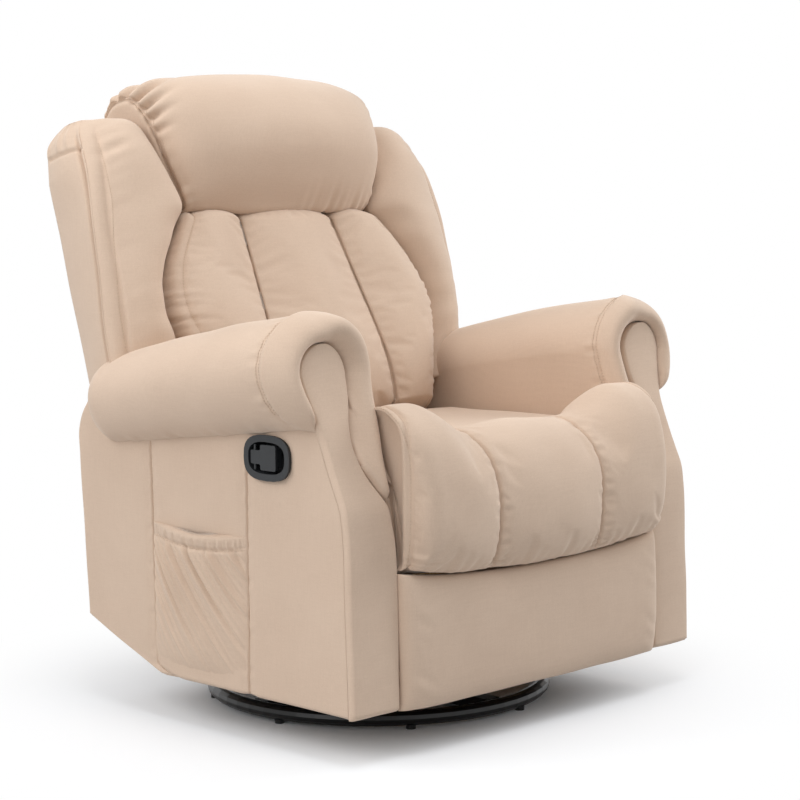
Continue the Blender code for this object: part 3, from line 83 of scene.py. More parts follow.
def smooth(low, high, value):
    """0 below low and 1 above high, with an S-shaped rise between."""
    share = np.clip((value - low) / (high - low), 0.0, 1.0)
    return share * share * (3 - 2 * share)


def arch(share, power=4.0):
    """0 at both ends of 0 to 1 and 1 in the middle: the upper half of a superellipse."""
    return quarter(2 * share - 1, power, 1 / power)


def quarter(share, power=2, root=0.5):
    """1 at 0, falling to 0 at 1 and -1 as a quarter of an ellipse."""
    return np.maximum(1 - np.abs(share) ** power, 0.0) ** root


def eased(count):
    """Places from 0 to 1 that close up towards both ends."""
    return (1 - np.cos(np.pi * np.linspace(0, 1, count))) / 2


def swept(count, reach=1.0):
    """Places from -1 to 1, or as far as the reach, that close up towards both ends."""
    return np.sin(np.pi / 2 * np.linspace(-reach, reach, count))


def and_back(row):
    """Places along a row and back again, without its two ends."""
    return np.concatenate([row, row[:, -2:0:-1]], axis=1)


def dip(distance, width):
    """1 on a line, fading to 0 on both sides as a bell of the given width."""
    return np.exp(-(distance / width) ** 2)


def through(knots, values, at):
    """A smooth curve through table rows: cubic pieces whose slopes come from the neighbouring rows."""
    knots, values = np.asarray(knots, float), np.asarray(values, float)
    slope = np.gradient(values, knots, axis=0)
    k = np.clip(np.searchsorted(knots, at, side="right") - 1, 0, len(knots) - 2)
    step = knots[k + 1] - knots[k]
    u = np.clip((at - knots[k]) / step, 0.0, 1.0)
    if values.ndim == 2:
        step, u = step[..., None], u[..., None]
    low = (2 * u ** 3 - 3 * u ** 2 + 1) * values[k] + (u ** 3 - 2 * u ** 2 + u) * step * slope[k]
    high = (3 * u ** 2 - 2 * u ** 3) * values[k + 1] + (u ** 3 - u ** 2) * step * slope[k + 1]
    return low + high


def closed_curve(points, count):
    """A closed smooth curve through table rows, with equally many points between each two of them."""
    points = np.asarray(points, float)
    table = np.concatenate([points[-2:], points, points[:3]])
    places = np.arange(count * len(points)) / count
    return through(np.arange(-2, len(points) + 3), table, places)


def ripple(value, pitch, seed):
    """An uneven wave along a seam: the mean of three sines near one pitch with seeded phases."""
    phases = np.random.default_rng(seed).uniform(0, 2 * np.pi, 3)
    rates = (0.61, 1.0, 1.43)
    return sum(np.sin(2 * np.pi * value * rate / pitch + p) for rate, p in zip(rates, phases)) / 3


def lumps(points, pitch, seed):
    """Uneven stuffing: the mean of eight waves through space in seeded directions."""
    rng = np.random.default_rng(seed)
    ways = rng.normal(size=(8, 3))
    ways *= (2 * np.pi / pitch * rng.uniform(0.6, 1.4, 8) / np.linalg.norm(ways, axis=1))[:, None]
    return np.sin(points @ ways.T + rng.uniform(0, 2 * np.pi, 8)).mean(axis=-1)


def across_panels(edges, steps):
    """Places across sewn panels. Edges are columns of seam places, and between two seams the places close up
    towards both as a cosine. Gives the grid and the index of each seam in it."""
    parts, seams = [], [0]
    for low, high, count in zip(edges, edges[1:], steps):
        share = (1 - np.cos(np.pi * np.arange(count) / count)) / 2
        parts.append(low + (high - low) * share)
        seams.append(seams[-1] + count)
    parts.append(edges[-1] + 0 * parts[-1][..., :1])
    return np.concatenate(parts, axis=-1), seams


def column(values):
    return np.asarray(values, float)[:, None]


def lean(x, t, s):
    """From the back's own frame (across, rearward, up the back) to the chair's: a turn about the hinge."""
    y = BACK_PIVOT[0] + s * math.sin(BACK_LEAN) + t * math.cos(BACK_LEAN)
    z = BACK_PIVOT[1] + s * math.cos(BACK_LEAN) - t * math.sin(BACK_LEAN)
    return np.stack(np.broadcast_arrays(x, y, z), axis=-1)


def outward(rings):
    """Unit normals of a ring surface: the cross product of the steps round and along it."""
    around = np.roll(rings, -1, axis=1) - np.roll(rings, 1, axis=1)
    normal = np.cross(around, np.gradient(rings, axis=0))
    normal /= np.linalg.norm(normal, axis=-1, keepdims=True) + 1e-12
    away = rings - rings.mean(axis=1, keepdims=True)
    return normal * np.sign((normal * away).sum())


def swell(rings, height):
    """The surface moved along its own normals by a height for each point."""
    return rings + outward(rings) * np.asarray(height)[..., None]


def add_mesh(name, points, faces, finish):
    mesh = bpy.data.meshes.new(name)
    mesh.from_pydata(points.tolist(), [], faces)
    mesh.validate()
    mesh.shade_smooth()
    mesh.materials.append(finish)
    piece = bpy.data.objects.new(name, mesh)
    bpy.context.scene.collection.objects.link(piece)
    return piece


def shell(name, rings, finish):
    """A closed skin: rings of points joined by four-sided faces, with a fan of triangles at each end."""
    rows, count = rings.shape[:2]
    here = np.arange(rows * count).reshape(rows, count)
    there = np.roll(here, -1, axis=1)
    quads = np.stack([here[:-1], there[:-1], there[1:], here[1:]], axis=-1).reshape(-1, 4)
    first, last = np.full(count, rows * count), np.full(count, rows * count + 1)
    fans = np.concatenate([np.stack([first, there[0], here[0]], -1),
                           np.stack([last, here[-1], there[-1]], -1)])
    points = np.concatenate([rings.reshape(-1, 3), rings[:1].mean(axis=1), rings[-1:].mean(axis=1)])
    a, b, c, d = (points[quads[:, k]] for k in range(4))
    volume = (np.cross(a, b) * c).sum() + (np.cross(a, c) * d).sum()
    if volume < 0:
        quads, fans = quads[:, ::-1], fans[:, ::-1]
    return add_mesh(name, points, quads.tolist() + fans.tolist(), finish)


def settle(rings, held, growth, pressure=3.0, limit=0.014, frames=14):
    """Cloth simulation on a padded cover. Points that are held stay sewn; the cloth between them is cut too
    large by growth and filled by pressure, so it swells and wrinkles. No point moves beyond the limit."""
    cover = shell("settling_cover", rings, bpy.data.materials["beige_weave"])
    sewn = cover.vertex_groups.new(name="sewn")
    sewn.add(np.flatnonzero(np.append(held.ravel(), [True, True])).tolist(), 1.0, "REPLACE")
    cloth = cover.modifiers.new("cloth", "CLOTH")
    feel = cloth.settings
    feel.quality = 5
    feel.mass = 0.3
    feel.tension_stiffness = 15
    feel.compression_stiffness = 15
    feel.shear_stiffness = 5
    feel.bending_stiffness = 0.3
    feel.vertex_group_mass = "sewn"
    feel.use_pressure = True
    feel.uniform_pressure_force = pressure
    feel.shrink_min = -growth
    feel.effector_weights.gravity = 0
    cloth.collision_settings.use_collision = False
    cloth.point_cache.frame_end = frames
    scene = bpy.context.scene
    for number in range(1, frames + 1):
        scene.frame_set(number)
    done = cover.evaluated_get(bpy.context.evaluated_depsgraph_get()).to_mesh()
    places = np.empty(3 * len(done.vertices))
    done.vertices.foreach_get("co", places)
    moved = places.reshape(-1, 3)[:-2].reshape(rings.shape) - rings
    far = np.linalg.norm(moved, axis=-1, keepdims=True)
    moved *= np.minimum(1.0, limit / np.maximum(far, 1e-9))
    bpy.data.meshes.remove(cover.data)
    scene.frame_set(1)
    return rings + moved


def dress(piece, body, node):
    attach(piece, body)
    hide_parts(node)
    return piece


def sew(body, rings, row=None, column=None, part=slice(None)):
    """Remembers a line of the surface's grid as a row of stitches to be made at the end."""
    spot = (row, part) if row is not None else (part, column)
    SEWN[body].append((rings[spot], outward(rings)[spot]))


def stitching(name, body, finish, pitch=0.0052, length=0.0036, radius=0.0006):
    """Every stitch is a short bead of thread: five points round and four rings long, laid along its line."""
    bead_along = np.array([-0.5, -0.32, 0.32, 0.5])
    bead_round = np.array([0.35, 1.0, 1.0, 0.35])
    points = 5
    turn = 2 * np.pi * np.arange(points) / points
    beads = []
    for path, normal in SEWN[body]:
        far = np.concatenate([[0], np.cumsum(np.linalg.norm(np.diff(path, axis=0), axis=1))])
        at = np.arange(pitch, far[-1] - pitch, pitch)
        spot, ahead, behind, up = (
            np.stack([np.interp(at + shift, far, line[:, k]) for k in range(3)], axis=-1)
            for shift, line in ((0, path), (length / 2, path), (-length / 2, path), (0, normal)))
        way = ahead - behind
        way /= np.linalg.norm(way, axis=1, keepdims=True) + 1e-12
        side = np.cross(way, up)
        side /= np.linalg.norm(side, axis=1, keepdims=True) + 1e-12
        up = np.cross(side, way)
        spine = spot + up * radius * 0.4
        bead = spine[:, None, None] + way[:, None, None] * (bead_along * length)[:, None, None]
        spoke = side[:, None, None] * np.cos(turn)[:, None] + up[:, None, None] * np.sin(turn)[:, None]
        beads.append(bead + spoke * (bead_round * radius)[:, None, None])
    beads = np.concatenate(beads)
    count = points * len(bead_along)
    start = count * np.arange(len(beads))[:, None, None]
    here = np.arange(count).reshape(-1, points)
    there = np.roll(here, -1, axis=1)
    quads = np.stack([here[:-1], here[1:], there[1:], there[:-1]], axis=-1).reshape(-1, 4)
    ends = np.stack([here[0], here[-1, ::-1]])
    faces = (start + quads).reshape(-1, 4).tolist() + (start + ends).reshape(-1, points).tolist()
    piece = add_mesh(name, beads.reshape(-1, 3), faces, finish)
    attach(piece, body)
    return piece


class Shade:
    """A socket of a material. Sums, differences and products on it add Math nodes."""

    def __init__(self, tree, socket=None):
        self.tree = tree
        self.socket = socket

    def plug(self, made, sockets):
        """Sets a node's sockets, each by a value or by a link."""
        for name, value in sockets.items():
            if isinstance(value, Shade):
                self.tree.links.new(value.socket, made.inputs[name])
            else:
                made.inputs[name].default_value = value

    def node(self, kind, settings=None, sockets=None, out=0):
        """Adds a node: its settings first, then its sockets."""
        made = self.tree.nodes.new("ShaderNode" + kind)
        for name, value in (settings or {}).items():
            setattr(made, name, value)
        self.plug(made, sockets or {})
        return Shade(self.tree, made.outputs[out])

    def math(self, operation, first, second=0.0):
        return self.node("Math", {"operation": operation}, {0: first, 1: second})

    def __add__(self, other):
        return self.math("ADD", self, other)

    def __radd__(self, other):
        return self.math("ADD", other, self)

    def __sub__(self, other):
        return self.math("SUBTRACT", self, other)

    def __mul__(self, other):
        return self.math("MULTIPLY", self, other)

    def blend(self, first, second):
        """A colour between two, by this value."""
        return self.node("Mix", {"data_type": "RGBA"}, {0: self, 6: first, 7: second}, 2)


def colour(red, green, blue):
    """A colour as it is seen on a screen, 0 to 255, as the renderer's linear numbers."""
    level = np.array([red, green, blue]) / 255
    linear = np.where(level <= 0.04045, level / 12.92, ((level + 0.055) / 1.055) ** 2.4)
    return (*linear.tolist(), 1.0)


def new_material(name):
    """An empty material: itself, its tree's first Shade, its surface shader and the place on the object."""
    material = bpy.data.materials.new(name)
    material.use_nodes = True
    start = Shade(material.node_tree)
    surface = start.tree.nodes["Principled BSDF"]
    return material, start, surface, start.node("TexCoord", out="Object")


def noise(start, where, scale, detail=2.0, roughness=0.5):
    sockets = {"Vector": where, "Scale": scale, "Detail": detail, "Roughness": roughness}
    return start.node("TexNoise", None, sockets)


def bumped(start, strength, distance, height):
    return start.node("Bump", None, {"Strength": strength, "Distance": distance, "Height": height})


def stretched(start, where, scale):
    return start.node("Mapping", None, {"Vector": where, "Scale": scale})


def woven(name, dark, pale, sheen):
    """A brushed plain weave: fine crossing threads, slubs both ways, a soft nap and faint clouds."""
    thread_pitch = 0.0014
    material, start, surface, where = new_material(name)
    nap = noise(start, where, 620.0, 3.0, 0.6)
    slub_up = noise(start, stretched(start, where, (420.0, 420.0, 38.0)), 1.0, 2.0)
    slub_across = noise(start, stretched(start, where, (38.0, 38.0, 520.0)), 1.0, 2.0)
    cloud = noise(start, where, 9.0, 2.0)
    axes = [start.node("SeparateXYZ", None, {0: where}, k) for k in range(3)]
    threads = [start.math("SINE", axis * (2 * math.pi / thread_pitch)) for axis in axes]
    weave = (threads[0] + threads[1] + threads[2]) * 0.16
    level = 0.5 + (nap - 0.5) * 0.60 + (slub_up - 0.5) * 0.22 + (slub_across - 0.5) * 0.22
    level = level + (cloud - 0.5) * 0.35 + weave * 0.12
    height = nap * 0.6 + weave * 0.5 + (slub_up + slub_across) * 0.2
    bump = bumped(start, 0.20, 0.0006, height)
    start.plug(surface, {
        "Base Color": level.blend(dark, pale), "Roughness": 0.84 + nap * 0.12, "Normal": bump,
        "Specular IOR Level": 0.25, "Sheen Weight": sheen, "Sheen Roughness": 0.45,
        "Sheen Tint": colour(250, 242, 233)})
    return material


def thread(name, dark, pale):
    material, start, surface, where = new_material(name)
    strand = noise(start, where, 1500.0, 1.0)
    bump = bumped(start, 0.3, 0.0003, strand)
    start.plug(surface, {
        "Base Color": strand.blend(dark, pale), "Roughness": 0.62 + strand * 0.15, "Normal": bump,
        "Specular IOR Level": 0.4})
    return material


def painted_steel(name):
    """Glossy black powder coat: a faint orange peel, with scuffs and dust low down near the floor."""
    material, start, surface, where = new_material(name)
    peel = noise(start, where, 240.0, 2.0)
    scuff = noise(start, where, 46.0, 5.0, 0.7)
    low = start.node("SeparateXYZ", None, {0: where}, 2)
    near_floor = start.node("MapRange", None, {0: low, 1: 0.004, 2: 0.020, 3: 1.0, 4: 0.0})
    worn = start.node("MapRange", None, {0: scuff, 1: 0.58, 2: 0.78, 3: 0.0, 4: 1.0}) * near_floor
    bump = bumped(start, 0.10, 0.0005, peel)
    start.plug(surface, {
        "Base Color": (worn * 0.4).blend(colour(13, 13, 14), colour(60, 58, 56)),
        "Roughness": 0.26 + peel * 0.10 + worn * 0.25, "Normal": bump, "Specular IOR Level": 0.35,
        "Coat Weight": 0.10, "Coat Roughness": 0.12})
    return material


def zinc_plate(name):
    """Zinc plated pressed steel: brushed streaks, cloudy patches of passivation and dull rubbed spots."""
    material, start, surface, where = new_material(name)
    streak = noise(start, stretched(start, where, (30.0, 900.0, 900.0)), 1.0, 2.0)
    cloud = noise(start, where, 32.0, 4.0, 0.6)
    bump = bumped(start, 0.08, 0.0004, streak)
    start.plug(surface, {
        "Base Color": cloud.blend(colour(146, 148, 150), colour(190, 190, 186)), "Metallic": 0.9,
        "Roughness": 0.30 + cloud * 0.18 + streak * 0.10, "Normal": bump})
    return material


def moulded_plastic(name):
    """Charcoal moulded plastic with a fine spark texture and a few lighter rubbed marks."""
    material, start, surface, where = new_material(name)
    spark = noise(start, where, 1300.0, 2.0, 0.6)
    rub = noise(start, where, 60.0, 4.0, 0.65)
    bump = bumped(start, 0.35, 0.0003, spark)
    start.plug(surface, {
        "Base Color": (rub * 0.8 + spark * 0.2).blend(colour(25, 27, 29), colour(43, 46, 49)),
        "Roughness": 0.42 + spark * 0.14 + rub * 0.08, "Normal": bump, "Specular IOR Level": 0.45})
    return material


def pine(name):
    """Planed softwood: growth rings drawn out along the rail, fine pores and darker late wood."""
    material, start, surface, where = new_material(name)
    rings = noise(start, stretched(start, where, (14.0, 60.0, 60.0)), 1.0, 4.0, 0.55)
    pores = noise(start, stretched(start, where, (90.0, 900.0, 900.0)), 1.0, 2.0)
    band = start.math("SINE", rings * 46.0) * 0.5 + 0.5
    bump = bumped(start, 0.2, 0.0005, pores + band * 0.4)
    start.plug(surface, {
        "Base Color": (band * 0.75 + pores * 0.25).blend(colour(214, 178, 128), colour(178, 134, 84)),
        "Roughness": 0.62 + pores * 0.2, "Normal": bump, "Specular IOR Level": 0.3})
    return material


def back_cushion(finish):
    """Lumbar cushion of three channels. Rows run up the back. Across a row the front swells as the upper
    half of a superellipse, drops towards the channel seams and falls off past the flange seam; the rear is
    flat."""
    rows, foot, top, flange_width = 132, 0.086, 0.488, 0.024
    share = column((1 - np.cos(np.pi * (np.arange(rows) + 0.5) / rows)) / 2)
    s = mix(foot, top, share)
    half = through(LUMBAR_S, LUMBAR_HALF, s)
    seam = 0.104 + 0.085 * (top - s)
    flange = half - flange_width
    x, seams = across_panels([-half, -flange, -seam, seam, flange, half], [12, 54, 64, 54, 12])
    a = np.abs(x) / half
    middle = np.abs(x) < seam
    place = np.where(middle, x / seam, (np.abs(x) - mix(seam, half, 0.5)) / mix(0, half - seam, 0.5))
    crown = 0.5 * (1 - place ** 2) + 0.5 * quarter(place, 2.3, 1 / 1.9)
    crown = np.where(middle | (place < 0), crown, 1.0)
    depth = 0.060 + mix(0.105, 0.064, smooth(0.15, 1.0, share)) * arch(mix(0.04, 0.965, share))
    depth = depth * mix(0.80, 1.0, smooth(0.0, 0.06, share)) * mix(0.70, 1.0, smooth(1.0, 0.92, share))
    fall = quarter(a, 11, 0.36)
    front = BACK_REST - depth * fall + 0.026 * (1 - crown) * fall
    rear_x = half * np.linspace(1, -1, 30)[1:-1]
    ring = np.concatenate([lean(x, front, s), lean(rear_x, BACK_REST + 0 * rear_x, s)], axis=1)

    width = x.shape[1]
    height = 0.0022 * lumps(ring, 0.11, 11)
    edge = np.zeros(ring.shape[:2])
    face = edge[:, :width]
    inset = half - np.abs(x)
    off_seam = np.abs(np.abs(x) - seam)
    waist = dip(s - 0.30, 0.06) + 0.6 * dip(s - 0.12, 0.04)
    face += 0.0034 * ripple(s + 0.25 * inset, 0.019, 5) * dip(inset - 0.018, 0.022) * waist
    face -= 0.0026 * dip(inset - flange_width, 0.0035)
    face += 0.0016 * dip(inset - 0.016, 0.006)
    face += 0.0022 * ripple(s, 0.024, 6) * dip(off_seam - 0.012, 0.012) * smooth(0.42, 0.48, s)
    face += 0.0007 * ripple(s, 0.030, 7) * dip(off_seam - 0.010, 0.010)
    face -= 0.0045 * dip(off_seam, 0.0030)
    ring = swell(ring, height + edge)
    loose = (off_seam > 0.004) & (np.abs(inset - flange_width) > 0.003) & (inset > 0.008)
    held = np.ones(ring.shape[:2], bool)
    held[4:-4, :width] = ~loose[4:-4]
    ring = settle(ring, held, COVER_GROWTH)
    for k in (seams[1] + 2, seams[4] - 2):
        sew("back", ring, column=k, part=slice(6, -6))
    return dress(shell("lumbar_cushion", ring, finish), "back", "back_cushion")


def head_pillow(finish):
    """Head pillow. Rings stand across the chair: a closed curve through the points of its side view, which
    hangs low in the middle and shrinks as an ellipse towards the end seam. Past the seam the rings draw in
    to the flat end gusset. Table columns: rearward and up the back; the seam's table adds its half width."""
    full = [(-0.030, 0.502), (-0.080, 0.484), (-0.119, 0.466), (-0.146, 0.484), (-0.180, 0.520),
            (-0.208, 0.568), (-0.211, 0.617), (-0.186, 0.674), (-0.137, 0.716), (-0.075, 0.730),
            (-0.020, 0.722), (0.006, 0.688), (-0.004, 0.625), (-0.020, 0.555)]
    seam = [(-0.020, 0.505, 0.217), (-0.050, 0.490, 0.214), (-0.080, 0.481, 0.213), (-0.100, 0.482, 0.213),
            (-0.110, 0.510, 0.224), (-0.112, 0.560, 0.241), (-0.109, 0.610, 0.250), (-0.101, 0.650, 0.259),
            (-0.083, 0.678, 0.266), (-0.055, 0.686, 0.271), (-0.025, 0.680, 0.272), (-0.008, 0.660, 0.270),
            (-0.004, 0.610, 0.256), (-0.010, 0.550, 0.236)]
    panel_rows, gusset_rows, between = 120, 22, 13
    full, seam = closed_curve(full, between), closed_curve(seam, between)
    across = swept(panel_rows)
    drawn = column(1 - quarter(across, 2.5))[..., None]
    panel = full * (1 - drawn) + seam[:, :2] * drawn
    panel_x = seam[:, 2] * column(across)
    turn = np.pi / 2 * np.arange(1, gusset_rows + 1) / (gusset_rows + 0.5)
    core = seam.mean(axis=0)
    gusset = core + (seam - core) * column(np.cos(turn))[..., None]
    gusset_x = gusset[..., 2] + column(0.007 * np.sin(turn))
    x = np.concatenate([-gusset_x[::-1], panel_x, gusset_x])
    side = np.concatenate([gusset[::-1, :, :2], panel, gusset[..., :2]])
    ring = lean(x, side[..., 0], side[..., 1])

    total = panel_rows + 2 * gusset_rows
    first, last = gusset_rows, total - gusset_rows - 1
    inset = np.minimum(*(np.linalg.norm(ring - ring[k], axis=-1) for k in (first, last)))
    on_panel = np.zeros((total, 1))
    on_panel[first:last + 1] = 1.0
    place = np.arange(len(seam))[None] / between
    gather = 0.0014 * ripple(place, 0.75, 22) * dip(inset - 0.012, 0.014)
    pleats = ((9.10, 0.042, 5, 0.011), (8.35, 0.058, 9, 0.016), (7.55, 0.068, 8, 0.017),
              (7.00, 0.050, 6, 0.013), (6.50, 0.040, 4, 0.010), (6.0, 0.030, 2, 0.007))
    for start, length, slant, depth in pleats:
        off = place - start - slant * inset
        fade = dip(inset, length) * smooth(0.002, 0.010, inset)
        gather += depth * (0.50 * dip(off - 0.30, 0.20) - dip(off, 0.13)) * fade
    lip = dip(side[..., 1] - 0.470, 0.030) * (side[..., 0] < -0.1)
    gather += 0.0022 * ripple(x, 0.030, 23) * lip * smooth(-0.02, 0.08, x)
    height = 0.0030 * lumps(ring, 0.14, 12) + gather * on_panel
    height -= 0.0046 * dip(inset, 0.0042)
    height += 0.0016 * dip(inset - 0.010, 0.006) * on_panel
    ring = swell(ring, height)
    for row in (first + 4, last - 4, first - 2, last + 2):
        sew("back", ring, row=row)
    return dress(shell("head_rest_pillow", ring, finish), "back", "head_pillow")


def back_wing(side, sign, finish):
    """Side bolster of the back. Rows run up the back; each ring goes over the swollen front panel from the
    middle pads to the flange, back along the flat flank, across the rear and forward again. A quarter
    ellipse closes the top."""
    rows, foot, top = 130, 0.150, 0.6465
    cap_start, cap_height, cap_t = 0.538, 0.1095, -0.066
    share = column(np.linspace(0, 1, rows))
    s = mix(foot, top, 1 - (1 - share) ** 1.5)
    up_cap = np.maximum(s - cap_start, 0) / cap_height
    cap = quarter(up_cap, 2.2)
    head = through((0.44, 0.482, 0.53, 0.57, 0.63, 0.66), (0.250, 0.222, 0.238, 0.254, 0.272, 0.290), s)
    inner = np.where(s < 0.475, through(LUMBAR_S, LUMBAR_HALF, s), head) - 0.002
    outer = through((0.15, 0.25, 0.39, 0.47, 0.55, 0.60, 0.625, 0.647),
                    (0.404, 0.409, 0.409, 0.405, 0.394, 0.383, 0.376, 0.362), s)
    rear = np.minimum(0.384, outer + mix(0.014, -0.008, cap))
    flange_t = through((0.15, 0.25, 0.39, 0.55, 0.60, 0.647),
                       (-0.072, -0.077, -0.0955, -0.097, -0.084, -0.070), s)
    rear_t = mix(-0.050, SHELL_REAR, quarter(up_cap, 8))
    flange_t = mix(cap_t, flange_t, cap)
    front_t = mix(cap_t, -0.100, cap)
    bulge = 0.050 * cap ** 0.8 * mix(0.6, 1.0, smooth(0.15, 0.28, s))

    a, _ = across_panels([np.zeros((1, 1)), np.full((1, 1), 0.80), np.ones((1, 1))], [52, 20])
    c = np.linspace(0, 1, 48)[None, 1:] ** 1.7
    e = np.linspace(0, 1, 18)[None, 1:]
    w = np.linspace(0, 1, 20)[None, 1:-1]
    front_x = mix(inner, outer, a)
    front = mix(front_t, flange_t, a) - bulge * np.sin(np.pi * a ** 0.78) ** 0.9
    puff = mix(0.004, 0.013, smooth(0.48, 0.60, s)) * cap ** 0.4
    flank_x = mix(outer, rear, c ** 1.1) + puff * np.sin(np.pi * c) ** 0.8
    flank = mix(flange_t, rear_t, c)
    rear_x = mix(rear, inner, e)
    wall_x, wall = inner + 0 * w, mix(rear_t, front_t, w)
    x = np.concatenate([front_x, flank_x, rear_x, wall_x], axis=1)
    t = np.concatenate([front, flank, rear_t + 0 * rear_x, wall], axis=1)
    ring = lean(sign * x, t, s + 0 * x)

    width, flank_width = a.shape[1], c.shape[1]
    height = 0.0020 * lumps(ring, 0.12, 31 + sign)
    inset = outer - front_x
    below_cap = smooth(0.640, 0.590, s)
    folds = 0.0030 * ripple(s + 0.3 * front_x, 0.034, 33)
    front_part = height[:, :width]
    front_part += folds * dip(inset - 0.036, 0.022) * mix(0.15, 1.0, smooth(0.50, 0.60, s))
    front_part -= 0.0040 * dip(inset - 0.019, 0.0034) * smooth(0.18, 0.24, s) * smooth(0.635, 0.600, s)
    front_part += 0.0030 * dip(inset - 0.007, 0.007) * below_cap
    front_part += 0.0016 * ripple(s, 0.075, 34) * dip(front_x - inner - 0.03, 0.03)
    flank_part = height[:, width:width + flank_width]
    along = c * 0.11
    flank_part -= 0.0080 * dip(along - 0.008, 0.0040) * below_cap
    flank_part += 0.0030 * dip(along - 0.001, 0.0035) * below_cap
    flank_part -= 0.0055 * dip(s - 0.592 - 0.012 * c, 0.0035) * smooth(1.0, 0.85, c)
    flank_part += 0.0030 * ripple(along + 0 * s, 0.034, 35) * dip(s - 0.620, 0.018)
    ring = swell(ring, height)
    stitched = int(np.argmin(np.abs(inset[rows // 2] - 0.027)))
    sew("back", ring, column=stitched, part=slice(8, rows - 26))
    return dress(shell(f"back_side_bolster_{side}", ring, finish), "back", f"back_wing_{side}")


def outer_back(finish):
    """Outside back panel: rows up the back with an arched top, a slightly crowned rear and rolled edges."""
    rows, columns, foot, top = 110, 90, -0.030, 0.682
    arch_start, arch_height = 0.560, 0.126
    share = column(eased(rows))
    s = mix(foot, top, share)
    neck = mix(0.262, 0.374, smooth(0.205, 0.250, s))
    half = neck * quarter(np.maximum(s - arch_start, 0) / arch_height, 2.4) + 0.004
    a = swept(columns)[None]
    close = arch(mix(0.012, 0.992, share), 8.0)
    fall = quarter(a, 12, 0.4)
    rear = 0.016 + (0.0125 + 0.004 * (1 - a ** 2)) * fall * close
    front = 0.0145 + 0 * a[:, 1:-1] * s
    x = and_back(a * half)
    ring = lean(x, np.concatenate([rear, front], axis=1), s + 0 * x)
    inset = half - np.abs(x)
    on_rear = np.arange(x.shape[1]) < columns
    height = 0.0012 * lumps(ring, 0.16, 41) * on_rear
    height -= 0.0016 * dip(inset - 0.016, 0.003) * on_rear
    ring = swell(ring, height)
    for k in (18, 71):
        sew("back", ring, column=k, part=slice(8, -26))
    return dress(shell("outside_back", ring, finish), "back", "back_outer_panel")


def seat_cushion(finish):
    """Seat cushion: rings across the chair over a side view with a crowned top, lower at both ends."""
    rows, columns, front, rear = 90, 70, -0.256, 0.146
    half, underside = 0.293, 0.3905
    a = column(swept(rows, 0.985))
    b = eased(columns)[None]
    y = mix(front, rear, b)
    ends = quarter(a, 10, 0.3)
    under_back = 0.4198 - (y - 0.2284) * math.tan(BACK_LEAN) - 0.004
    top = 0.430 + (0.018 + 0.022 * arch(mix(0.15, 1.0, b))) * ends
    top = np.minimum(top, under_back) - 0.032 * smooth(-0.212, front, y)
    low = underside + 0 * y[:, 1:-1] * a
    ring_y = and_back(y) + 0 * a
    ring = np.stack([half * a + 0 * ring_y, ring_y, np.concatenate([top, low], axis=1)], axis=-1)
    height = 0.0022 * lumps(ring, 0.13, 51) * (np.arange(ring.shape[1]) < columns)
    ring = swell(ring, height)
    return dress(shell("seat_pad", ring, finish), "chassis", "seat_cushion")


